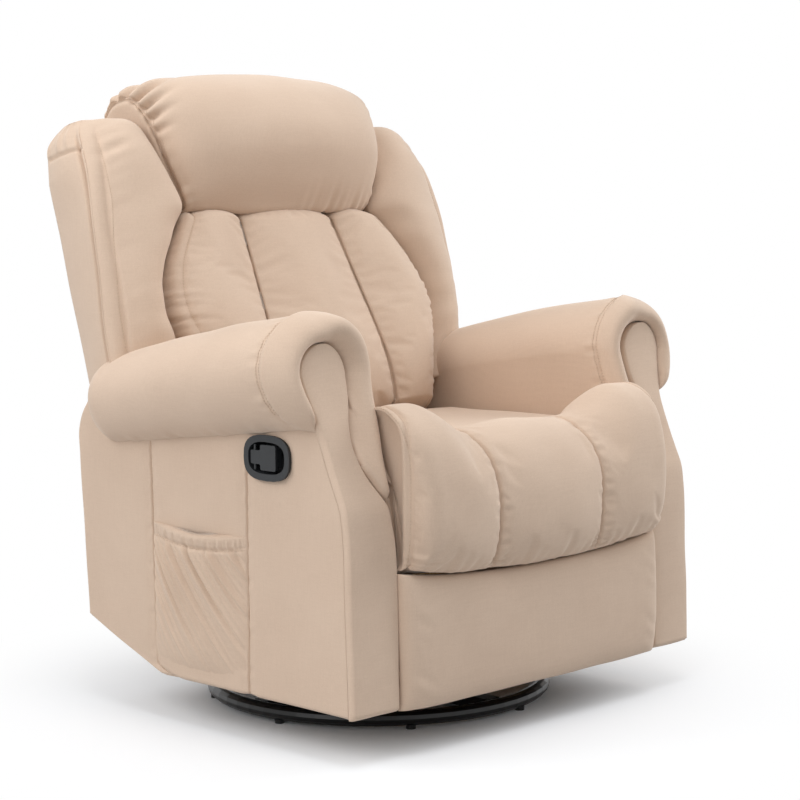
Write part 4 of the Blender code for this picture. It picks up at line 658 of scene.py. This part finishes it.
def front_bolster(finish):
    """Front roll of the seat in three channels. Rings across the chair: a side view through table points,
    fuller in the channels, drawn in at the channel seams and lower over the middle. Towards each end it
    draws in as an ellipse to the flange seam, and a sunk cap closes it."""
    half, seam, end_start, groove_in = 0.296, 0.122, 0.258, 0.0125
    full = np.array([(-0.232, 0.452), (-0.256, 0.502), (-0.304, 0.529), (-0.350, 0.518), (-0.386, 0.484),
                     (-0.403, 0.436), (-0.408, 0.385), (-0.405, 0.332), (-0.395, 0.290), (-0.381, 0.270),
                     (-0.360, 0.267)])
    low = np.array([(-0.232, 0.446), (-0.262, 0.474), (-0.297, 0.4885), (-0.345, 0.478), (-0.385, 0.450),
                    (-0.406, 0.408), (-0.412, 0.366), (-0.410, 0.322), (-0.400, 0.288), (-0.384, 0.269),
                    (-0.362, 0.267)])
    flange = np.array([(-0.232, 0.450), (-0.262, 0.508), (-0.310, 0.524), (-0.342, 0.511), (-0.357, 0.492),
                       (-0.362, 0.462), (-0.362, 0.410), (-0.361, 0.350), (-0.358, 0.292), (-0.354, 0.270),
                       (-0.346, 0.266)])
    places = np.linspace(0, 10, 140)
    full, low, flange = (through(np.arange(11), rows, places) for rows in (full, low, flange))
    spots = [np.full((1, 1), v) for v in (-half, -seam, seam, half)]
    x, _ = across_panels(spots, [60, 60, 60])
    x = x.T
    middle = np.abs(x) < seam
    place = np.where(middle, x / seam, (np.abs(x) - (seam + half) / 2) / ((half - seam) / 2))
    crown = np.where(middle | (place < 0), 1 - place ** 2, 1.0)
    centre = (1 - smooth(0.14, 0.24, np.abs(x)))[..., None]
    end = np.clip((np.abs(x) - end_start) / (half - end_start), 0.0, 1.0)
    end = (1 - quarter(end, 2.2))[..., None]
    side = full * (1 - centre) + low * centre
    side = side * (1 - end) + flange * end
    side[..., 1] += 0.020 * (np.abs(x) / half) ** 2.5 * smooth(6.0, 9.5, places)[None]
    lining = np.array([(-0.340, 0.274), (-0.334, 0.300), (-0.324, 0.372), (-0.316, 0.3915), (-0.286, 0.3915),
                       (-0.264, 0.3915), (-0.258, 0.412)])
    inner = through(np.arange(7), lining, np.linspace(0, 6, 36))[None] + 0 * x[..., None]
    side = np.concatenate([side, inner], axis=1)
    ring = np.concatenate([x[..., None] + 0 * side[..., :1], side], axis=-1)

    count = len(places)
    down = smooth(6.5, 9.5, places)[None]
    under = smooth(8.6, 9.6, places)[None]
    off_seam = np.abs(np.abs(x) - seam)
    off_end = np.linalg.norm(ring[:, :count] - ring[:1, :count], axis=-1)
    off_end = np.minimum(off_end, np.linalg.norm(ring[:, :count] - ring[-1:, :count], axis=-1))
    arc = (places * 0.045)[None]
    on_top = mix(0.45, 1.0, smooth(1.0, 4.0, places))[None]
    height = 0.0022 * lumps(ring, 0.10, 61)
    over = height[:, :count]
    drawn_in = 0.012 * (1 - crown) * on_top + 0.0055 * dip(off_seam, 0.0030) * on_top
    over -= drawn_in * mix(1.0, 0.60, down) * (1 - under)
    over -= 0.0046 * dip(off_end - groove_in, 0.0032)
    over += 0.0030 * dip(off_end - 0.004, 0.0050)
    over += 0.0012 * ripple(arc, 0.028, 62) * dip(off_seam - 0.012, 0.011)
    over += 0.0036 * ripple(arc + 0.3 * x, 0.026, 63) * dip(off_seam - 0.012, 0.018) * down * (1 - under)
    over += 0.0026 * ripple(x + 0 * arc, 0.034, 64) * down * (1 - under)
    over += 0.0034 * ripple(arc, 0.030, 65) * dip(off_end - 0.030, 0.024) * down * (1 - under)
    ring = swell(ring, height)
    loose = (off_seam > 0.004) & (off_end > 0.015)
    held = np.ones(ring.shape[:2], bool)
    held[2:-2, 6:count - 10] = ~loose[2:-2, 6:count - 10]
    ring = settle(ring, held, COVER_GROWTH)
    groove = int(np.argmin(np.abs(off_end[:40, count // 2] - groove_in)))
    for row in (groove, len(ring) - 1 - groove):
        sew("chassis", ring, row=row, part=slice(6, count - 12))
    steps = 14
    turn = np.pi / 2 * np.arange(1, steps + 1) / (steps + 0.5)

    def cap(row, way):
        core = row.mean(axis=1, keepdims=True)
        flat = core + (row - core) * np.cos(turn)[:, None, None]
        flat[..., 0] = row[..., 0] - way * 0.010 * smooth(0.0, 0.5, turn)[:, None]
        return flat

    ring = np.concatenate([cap(ring[:1], -1)[::-1], ring, cap(ring[-1:], 1)])
    return dress(shell("seat_front_roll", ring, finish), "chassis", "front_bolster")


def footrest_pad(finish):
    """Footrest panel: rings across the chair over an upright side view, thin at the edges and crowned in the
    middle; towards both ends it draws back as an ellipse."""
    rows, columns, half, board_face = 120, 76, 0.3010, -0.3525
    foot, top = 0.0735, 0.2625
    v = column(swept(rows, 0.995))
    b = eased(columns)[None]
    ends = quarter(v, 22, 0.40)
    z = mix(foot, top + 0.019 * np.abs(v) ** 2.5, b)
    body = arch(mix(0.003, 0.997, b), 7.0)
    crown = 0.018 + 0.014 * arch(mix(0.03, 0.97, b), 2.6) * (1 - 0.35 * v ** 4)
    front = board_face - crown * body * ends
    rear = board_face + 0 * z[:, -2:0:-1]
    ring_z = and_back(z)
    ring = np.stack([half * v + 0 * ring_z, np.concatenate([front, rear], axis=1), ring_z], axis=-1)
    on_front = np.arange(ring.shape[1]) < columns
    height = 0.0022 * lumps(ring, 0.13, 71) * on_front
    tuck = half - np.abs(ring[..., 0])
    folds = 0.0010 * ripple(ring[..., 2] + 0.5 * ring[..., 0], 0.040, 72)
    height += folds * dip(tuck - 0.03, 0.02) * on_front
    ring = swell(ring, height)
    return dress(shell("footrest_panel", ring, finish), "footrest", "footrest_pad")


def front_edge(z):
    """The arm's front edge: nearly upright below and swept back to the roll's front above."""
    return through(FRONT_Z, FRONT_Y, z)


def facing_edges(z):
    """The facing's inner and outer edge: a straight strip, a waist and then a round head."""
    over = np.clip((z - HEAD_Z) / HEAD_RADIUS, 0.0, 1.0)
    half = HEAD_RADIUS * np.sqrt(np.maximum(1 - over ** 2, 0.001))
    inner = np.where(z > HEAD_Z, HEAD_X - half, through(FACING_Z, FACING_IN, z))
    outer = np.where(z > HEAD_Z, HEAD_X + half, through(FACING_Z, FACING_OUT, z))
    return inner, outer


def roll_section(angle, y):
    """Radius of the arm roll by angle and length, and its middle's height: a circle that tapers to the rear.
    On the inner side the section runs straight down to the seat, and below it tucks into the arm panel."""
    back = np.clip((y - ROLL_FRONT) / ROLL_LENGTH, 0.0, 1.0)
    radius = mix(*ROLL_RADII, back ** 2)
    middle = ROLL_TOP - 0.0548 * back - 0.0481 * back ** 2 - radius
    top_x, top_z = -radius, 0 * radius
    foot_x, foot_z = ROLL_FOOT[0] - ROLL_X, ROLL_FOOT[1] - middle
    way_x, way_z = foot_x - top_x, foot_z - top_z
    straight = (top_x * way_z - top_z * way_x) / (np.cos(angle) * way_z - np.sin(angle) * way_x + 1e-9)
    foot_angle = 2 * np.pi + np.arctan2(foot_z, foot_x)
    foot_reach = np.hypot(foot_x, foot_z)
    tucked = mix(foot_reach, radius * 0.96, smooth(foot_angle, foot_angle + 0.30, angle))
    tucked = mix(tucked, radius, smooth(foot_angle + 0.3, 2 * np.pi - 1.15, angle))
    reach = np.where(angle < np.pi, radius, np.where(angle < foot_angle, straight, tucked))
    return reach, middle


def arm_roll(side, sign, finish):
    """Padded arm roll. Rings go round its axis: first over the rounded border from the facing's seam to the
    outside, then along the tapering roll, then over a half ellipse at the rear."""
    count, dome_depth = 150, 0.062
    angle = (np.arange(count) * 2 * np.pi / count)[None]
    reach, middle = roll_section(angle, np.full((1, 1), ROLL_FRONT))
    tries = np.linspace(0.0, 1.0, 200)[:, None]
    try_x, try_z = ROLL_X + tries * reach * np.cos(angle), middle + tries * reach * np.sin(angle)
    low, high = facing_edges(try_z)
    within = (try_x > low) & (try_x < high) & (try_z < HEAD_Z + HEAD_RADIUS)
    left = np.cumprod(within, axis=0) * tries
    inside = left.max(axis=0, keepdims=True)
    border = (1 - np.minimum(inside, 0.985)) * reach
    q = column(eased(30))
    radius = reach - border * (1 - q)
    x = ROLL_X + radius * np.cos(angle)
    z = middle + radius * np.sin(angle)
    plump = smooth(0.0, 0.032, border)
    towards_seat = smooth(0.2, -0.5, np.cos(angle))
    round_over = quarter(2 * q ** mix(1.0, 1.8, towards_seat) - 1)
    retreat = mix(mix(0.008, 0.026, plump), 0.002, towards_seat)
    y = front_edge(z) + 0.002 - (0.003 + 0.026 * plump) * round_over + retreat * q ** 2
    front = np.stack([x, y, z], axis=-1)

    v = np.linspace(0, 1, 97)[1:, None]
    y = mix(front[-1:, :, 1], ROLL_REAR, v)
    reach, middle = roll_section(angle, y)
    long = np.stack([ROLL_X + reach * np.cos(angle), y, middle + reach * np.sin(angle)], axis=-1)

    turn = column(np.pi / 2 * np.arange(1, 25) / 24.5)
    end = long[-1:]
    core = np.array([ROLL_X, 0, float(middle[-1, 0]) - 0.004])
    dome = core + (end - core) * (np.cos(turn) ** 0.9)[..., None]
    dome[..., 1] = ROLL_REAR + dome_depth * np.sin(turn)
    ring = np.concatenate([front, long, dome])

    along = ring[..., 1] - front[-1:, :, 1]
    height = 0.0024 * lumps(ring, 0.13, 81 + sign)
    above = np.sin(angle) > -0.80
    height -= 0.0036 * dip(along - 0.010, 0.0034) * above
    height += 0.0014 * dip(along - 0.002, 0.006) * above
    height += 0.0015 * ripple(angle * 0.09, 0.026, 82) * dip(along - 0.020, 0.014) * above
    outer_low = dip(angle - 2 * np.pi + 1.10, 0.16)
    height += 0.0016 * ripple(ring[..., 1], 0.045, 83) * outer_low
    ring = swell(ring, height)
    ring[..., 0] *= sign
    seam_row = len(front) + 2
    order = np.concatenate([np.arange(132, count), np.arange(0, 96)])
    for row in (seam_row, seam_row - 2):
        sew("chassis", ring, row=row, part=order)
    return dress(shell(f"arm_roll_pad_{side}", ring, finish), "chassis", f"arm_roll_{side}")


def cup_share(y, z, spare):
    """Below 1 inside the finger cup's oval grown by a margin."""
    u = np.abs(y - CUP_Y) / (CUP_LENGTH / 2 + spare)
    w = np.abs(z - CUP_Z) / (CUP_HEIGHT / 2 + spare)
    return u ** 2.78 + w ** 2.78


def arm_side(side, sign, finish):
    """Upholstered arm panel. Rows run upwards; each ring goes forward along the outer face, round the front
    edge, back along the inner face and round the rear edge. Two upright seams are drawn in, and on the right
    arm the finger cup's oval is sunk."""
    rows, arm_top, rear_seam, front_seam, cup_depth = 150, 0.512, 0.108, -0.122, 0.0375
    share = column(np.linspace(0, 1, rows))
    z = mix(ARM_BOTTOM, arm_top, share)
    front = front_edge(z) + 0.0015
    rear = through((0.070, 0.150, 0.300, 0.420, 0.462, 0.490, 0.515),
                   (0.290, 0.292, 0.302, 0.310, 0.311, 0.300, 0.280), z)
    chamfer = 0.094 + (z - ARM_BOTTOM) * 2.62
    rear = np.minimum(rear, chamfer)
    spots = [rear, np.full_like(z, rear_seam) + 0.03 * (z - 0.2), np.full_like(z, front_seam), front]
    spots[1] = np.minimum(spots[1], mix(front, rear, 0.93))
    y, seams = across_panels(spots, [64, 76, 80])
    width = y.shape[1]
    near_end = np.minimum(y - front, rear - y)
    low = np.minimum(1.0, (z - ARM_BOTTOM) / 0.008)
    hem = 0.006 * (1 - quarter(1 - low))
    rolled = np.where(y - front < rear - y, 0.003, 0.010)
    turn_in = 0.7 * rolled * (1 - quarter(1 - np.minimum(near_end / rolled, 1.0)))
    outer = ARM_OUTER - 0.0006 - turn_in - hem
    inner_y = mix(front, rear, eased(60)[None])
    inner_near = np.minimum(inner_y - front, rear - inner_y)
    inner_turn = 0.014 * (1 - quarter(1 - np.minimum(inner_near / 0.020, 1.0)))
    inner = ARM_INNER + inner_turn + hem
    edge_x = np.linspace(0, 1, 14)[None, 1:-1]
    front_x = mix(outer[:, -1:], inner[:, :1], edge_x)
    rear_x = mix(inner[:, -1:], outer[:, :1], edge_x)
    x = np.concatenate([outer, front_x, inner, rear_x], axis=1)
    ring_y = np.concatenate([y, front - 0.001 * np.sin(np.pi * edge_x), inner_y,
                             rear + 0.003 * np.sin(np.pi * edge_x)], axis=1)
    ring = np.stack([x, ring_y, z + 0 * x], axis=-1)
    seam_gap = np.minimum(np.abs(y - spots[1]), np.abs(y - spots[2]))
    height = np.zeros(x.shape)
    below_roll = smooth(0.47, 0.45, z)
    face = height[:, :width]
    face -= (0.0043 * dip(seam_gap, 0.0021) + 0.0012 * dip(seam_gap, 0.012)) * below_roll
    face -= 0.0012 + 0.0012 * lumps(ring[:, :width], 0.15, 91)
    face -= 0.0008 * (1 + ripple(z, 0.028, 92)) * dip(seam_gap - 0.008, 0.008) * below_roll
    if side == "right":
        sunk = cup_share(y, z + 0 * y, -0.0055) < 1
        face[sunk] = -cup_depth
    ring = swell(ring, height)
    ring[..., 0] *= sign
    top = int(rows * 0.84)
    for k in seams[1:3]:
        sew("chassis", ring, column=k - 3, part=slice(4, top))
    return dress(shell(f"arm_panel_{side}", ring, finish), "chassis", f"arm_side_{side}")


def arm_facing(side, sign, finish):
    """Front facing strip: rows up the arm follow its swept front edge. Each ring is flat behind and gently
    crowned in front, and above the strip the rings narrow as a half circle."""
    rows, columns, foot = 150, 56, 0.0755
    share = column(np.linspace(0, 1, rows))
    z = mix(foot, HEAD_Z + HEAD_RADIUS - 0.0015, 1 - (1 - share) ** 1.25)
    inner, outer = facing_edges(z)
    half = (outer - inner) / 2 - 0.0005
    a = swept(columns)[None]
    x = (inner + outer) / 2 + a * half
    inset = np.minimum(half * (1 - np.abs(a)), np.maximum(z - foot, 0) + 0.0004)
    edge = quarter(1 - np.minimum(inset / 0.005, 1.0))
    y = front_edge(z) - 0.0004 - 0.0100 * edge - 0.0028 * (1 - a ** 4)
    rear_y = front_edge(z) + 0.0005 + 0 * x[:, -2:0:-1]
    ring_x = and_back(x)
    ring = np.stack([ring_x, np.concatenate([y, rear_y], axis=1), z + 0 * ring_x], axis=-1)
    height = 0.0011 * lumps(ring, 0.09, 95 + sign) * (np.arange(ring.shape[1]) < columns)
    ring = swell(ring, height)
    ring[..., 0] *= sign
    return dress(shell(f"arm_front_facing_{side}", ring, finish), "chassis", f"arm_facing_{side}")


def side_pocket(finish):
    """Magazine pocket: a gathered cloth front. Rows run upwards to a sagging hem; the cloth stands off the
    panel, with slanting gathers that fade downwards from the elastic band. Its lining lies behind it."""
    rows, columns, lining_gap, sunk = 110, 120, 0.0025, 0.0080
    face = ARM_OUTER + 0.0006
    b = column(np.linspace(0, 1, rows))
    a = eased(columns)[None]
    y = mix(POCKET_FRONT, POCKET_REAR, a)
    hem = POCKET_TOP - 0.010 * np.sin(np.pi * np.minimum(a * 1.1, 1.0)) ** 0.8
    z = mix(POCKET_FOOT, hem, b)
    sides = arch(mix(0.001, 0.999, a), 2.2)
    foot = quarter(1 - np.minimum((z - POCKET_FOOT) / 0.060, 1.0))
    stand = 0.0040 + 0.0070 * smooth(0.0, 0.9, b) * np.sin(np.pi * a) ** 0.5
    below = hem - z
    slant = y + 0.80 * below
    folds = 0.0110 * ripple(slant, 0.022, 101) * dip(below, 0.150) * smooth(0.014, 0.034, below)
    band = 0.0034 * ripple(y, 0.0105, 102) * smooth(0.028, 0.010, below) * smooth(0.0, 0.010, below)
    tuck = -0.0042 * dip(below - 0.019, 0.0032) + 0.0012 * dip(below - 0.004, 0.005)
    out = (stand + folds + band + tuck + sunk) * sides * foot - sunk
    outer = np.stack([face + out, y + 0 * z, z], axis=-1)
    lining = outer[:, -2:0:-1].copy()
    lining[..., 0] -= lining_gap
    ring = np.concatenate([outer, lining], axis=1)
    ring[..., 0] *= -1
    sew("chassis", ring, row=int(rows * 0.905), part=slice(6, columns - 6))
    return dress(shell("magazine_pocket", ring, finish), "chassis", "side_pocket")


def rear_panel(finish, low, high):
    """Upholstered board between the arms at the back: rows upwards, rear face crowned, edges rolled over."""
    rows, columns = 60, 90
    share = column(eased(rows))
    z = mix(low[2] + 0.0005, high[2] - 0.0005, share)
    a = swept(columns)[None]
    half = (high[0] - low[0]) / 2 - 0.0005
    fall = quarter(a, 16, 0.4) * arch(mix(0.01, 0.99, share), 8.0)
    rear = low[1] + (high[1] - low[1]) * fall
    x = and_back(a * half) + 0 * z
    y = np.concatenate([rear, low[1] + 0 * a[:, 1:-1] * z], axis=1)
    ring = np.stack([x, y, z + 0 * x], axis=-1)
    height = (0.0010 * lumps(ring, 0.15, 111) - 0.001) * (np.arange(x.shape[1]) < columns)
    ring = swell(ring, height)
    return dress(shell("rear_apron", ring, finish), "chassis", "rear_panel")


def coil_spring(place, side, finish):
    """Coil spring under the chassis: a round wire carried along a helix that lies level at both ends."""
    node = f"rocker_spring_{place}_{side}"
    low, high = (np.array(corner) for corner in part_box(node))
    wire, turns = 0.002, 5
    share = np.linspace(0, 1, 180)
    turn = 2 * np.pi * turns * share
    middle = (low + high) / 2
    radius = (high[0] - low[0]) / 2 - wire
    out = np.stack([np.cos(turn), np.sin(turn), 0 * turn], axis=-1)
    path = middle + radius * out
    path[:, 2] = mix(low[2] + wire, high[2] - wire, smooth(0.05, 0.95, share))
    way = np.gradient(path, axis=0)
    way /= np.linalg.norm(way, axis=1, keepdims=True)
    up = np.cross(out, way)
    around = 2 * np.pi * np.arange(10) / 10
    spoke = out[:, None] * np.cos(around)[:, None] + up[:, None] * np.sin(around)[:, None]
    piece = shell(f"coil_spring_{place}_{side}", path[:, None] + wire * spoke, finish)
    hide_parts(node)
    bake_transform(piece)


def stand(item, axes, place):
    """Puts a camera or a lamp at its place, with its own axes as given."""
    turn = Matrix(np.stack(axes).T.tolist()).to_4x4()
    turn.translation = tuple(place)
    item.matrix_world = turn
    bpy.context.scene.collection.objects.link(item)


def camera():
    """The photograph's view: a long lens low in front of the right arm, turned a little on its axis."""
    azimuth, elevation, roll = (math.radians(v) for v in (-44.69, 5.15, -0.45))
    aim, distance = np.array([0.037, -0.020, 0.499]), 3.506
    focal_pixels, picture_pixels = 2050, 800
    back = np.array([math.sin(azimuth) * math.cos(elevation), -math.cos(azimuth) * math.cos(elevation),
                     math.sin(elevation)])
    right = np.array([math.cos(azimuth), math.sin(azimuth), 0.0])
    up = np.cross(back, right)
    data = bpy.data.cameras.new("photo_view")
    data.sensor_width = 36.0
    data.lens = 36.0 * focal_pixels / picture_pixels
    data.clip_end = 50.0
    item = bpy.data.objects.new("photo_view", data)
    turned_right = math.cos(roll) * right + math.sin(roll) * up
    turned_up = math.cos(roll) * up - math.sin(roll) * right
    stand(item, [turned_right, turned_up, back], aim + distance * back)
    bpy.context.scene.camera = item


def softbox(name, place, target, size, power):
    data = bpy.data.lights.new(name, "AREA")
    data.shape = "SQUARE"
    data.size = size
    data.energy = power
    back = np.array(place) - np.array(target)
    back = back / np.linalg.norm(back)
    right = np.cross((0.0, 0.0, 1.0), back)
    right /= np.linalg.norm(right)
    stand(bpy.data.objects.new(name, data), [right, np.cross(back, right), back], place)


def white_seen(start):
    """1 for rays that show the background, straight or in a reflection, and 0 for rays that carry light."""
    seen = [start.node("LightPath", out=f"Is {kind} Ray") for kind in ("Camera", "Glossy", "Transmission")]
    return start.math("MAXIMUM", start.math("MAXIMUM", seen[0], seen[1]), seen[2])


def studio():
    """White sky for what is seen, plain soft light for the rest, five softboxes, and a pale floor that keeps
    shadows near the chair and goes over into the white further off."""
    plain_sky, white_from, white_at, reach = 0.40, 0.24, 0.85, 9.0
    world = bpy.data.worlds.new("studio")
    bpy.context.scene.world = world
    world.use_nodes = True
    tree = world.node_tree
    start = Shade(tree)
    seen = white_seen(start)
    sky = tree.nodes["Background"]
    sky.inputs["Color"].default_value = (1, 1, 1, 1)
    tree.links.new((plain_sky + seen * (1 - plain_sky)).socket, sky.inputs["Strength"])

    for name, place, aim, size, power in (
            ("top", (-0.2, 0.2, 3.6), 0.6, 2.4, 14), ("key", (-0.8, -1.2, 3.4), 0.6, 1.4, 36),
            ("rear_left", (-2.8, 1.6, 2.8), 0.5, 2.0, 58), ("left", (-3.6, -0.9, 2.0), 0.5, 2.4, 34),
            ("right", (3.4, -1.6, 2.2), 0.5, 2.4, 80)):
        softbox(f"{name}_softbox", place, (0, 0, aim), size, power)

    points = np.array([(-reach, -reach, 0), (reach, -reach, 0), (reach, reach, 0), (-reach, reach, 0)])
    material, start, surface, where = new_material("studio_floor")
    mottle = noise(start, where, 3.0, 3.0)
    plain = mottle.blend((0.88, 0.90, 0.93, 1), (0.91, 0.93, 0.96, 1))
    shown = white_seen(start).blend((0.55, 0.55, 0.55, 1), plain)
    start.plug(surface, {"Base Color": shown, "Roughness": 0.85})
    glow = start.node("Emission", None, {"Color": (1, 1, 1, 1), "Strength": 1.0})
    out = start.tree.nodes["Material Output"]
    far = start.node("VectorMath", {"operation": "LENGTH"}, {0: where}, 1)
    white = start.node("MapRange", {"interpolation_type": "SMOOTHSTEP"},
                       {0: far, 1: white_from, 2: white_at, 3: 0.0, 4: 1.0})
    near = Shade(start.tree, surface.outputs[0])
    lit = start.node("MixShader", None, {0: white_seen(start) * white, 1: near, 2: glow})
    start.tree.links.new(lit.socket, out.inputs[0])
    floor = add_mesh("studio_floor", points, [[0, 1, 2, 3]], material)


def main():
    bpy.context.scene.view_settings.view_transform = "Standard"
    camera()
    studio()
    fabric = woven("beige_weave", colour(192, 167, 147), colour(218, 196, 176), 0.45)
    stitch = thread("beige_thread", colour(178, 154, 133), colour(212, 190, 168))
    finishes = {"black_steel": painted_steel("black_powder_coat"), "zinc_steel": zinc_plate("zinc_plate"),
                "black_plastic": moulded_plastic("charcoal_plastic"), "pine_frame": pine("planed_pine"),
                "beige_fabric": fabric}
    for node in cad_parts.values():
        for place in node.material_slots:
            place.material = finishes[place.material.name.split(".")[0]]

    back_cushion(fabric)
    head_pillow(fabric)
    outer_back(fabric)
    seat_cushion(fabric)
    front_bolster(fabric)
    footrest_pad(fabric)
    for side, sign in SIDES.items():
        back_wing(side, sign, fabric)
        arm_side(side, sign, fabric)
        arm_roll(side, sign, fabric)
        arm_facing(side, sign, fabric)
        for place in ("front", "rear"):
            coil_spring(place, side, finishes["zinc_steel"])
    side_pocket(fabric)
    rear_panel(fabric, *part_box("rear_panel"))
    stitching("back_stitching", "back", stitch)
    stitching("body_stitching", "chassis", stitch)


main()
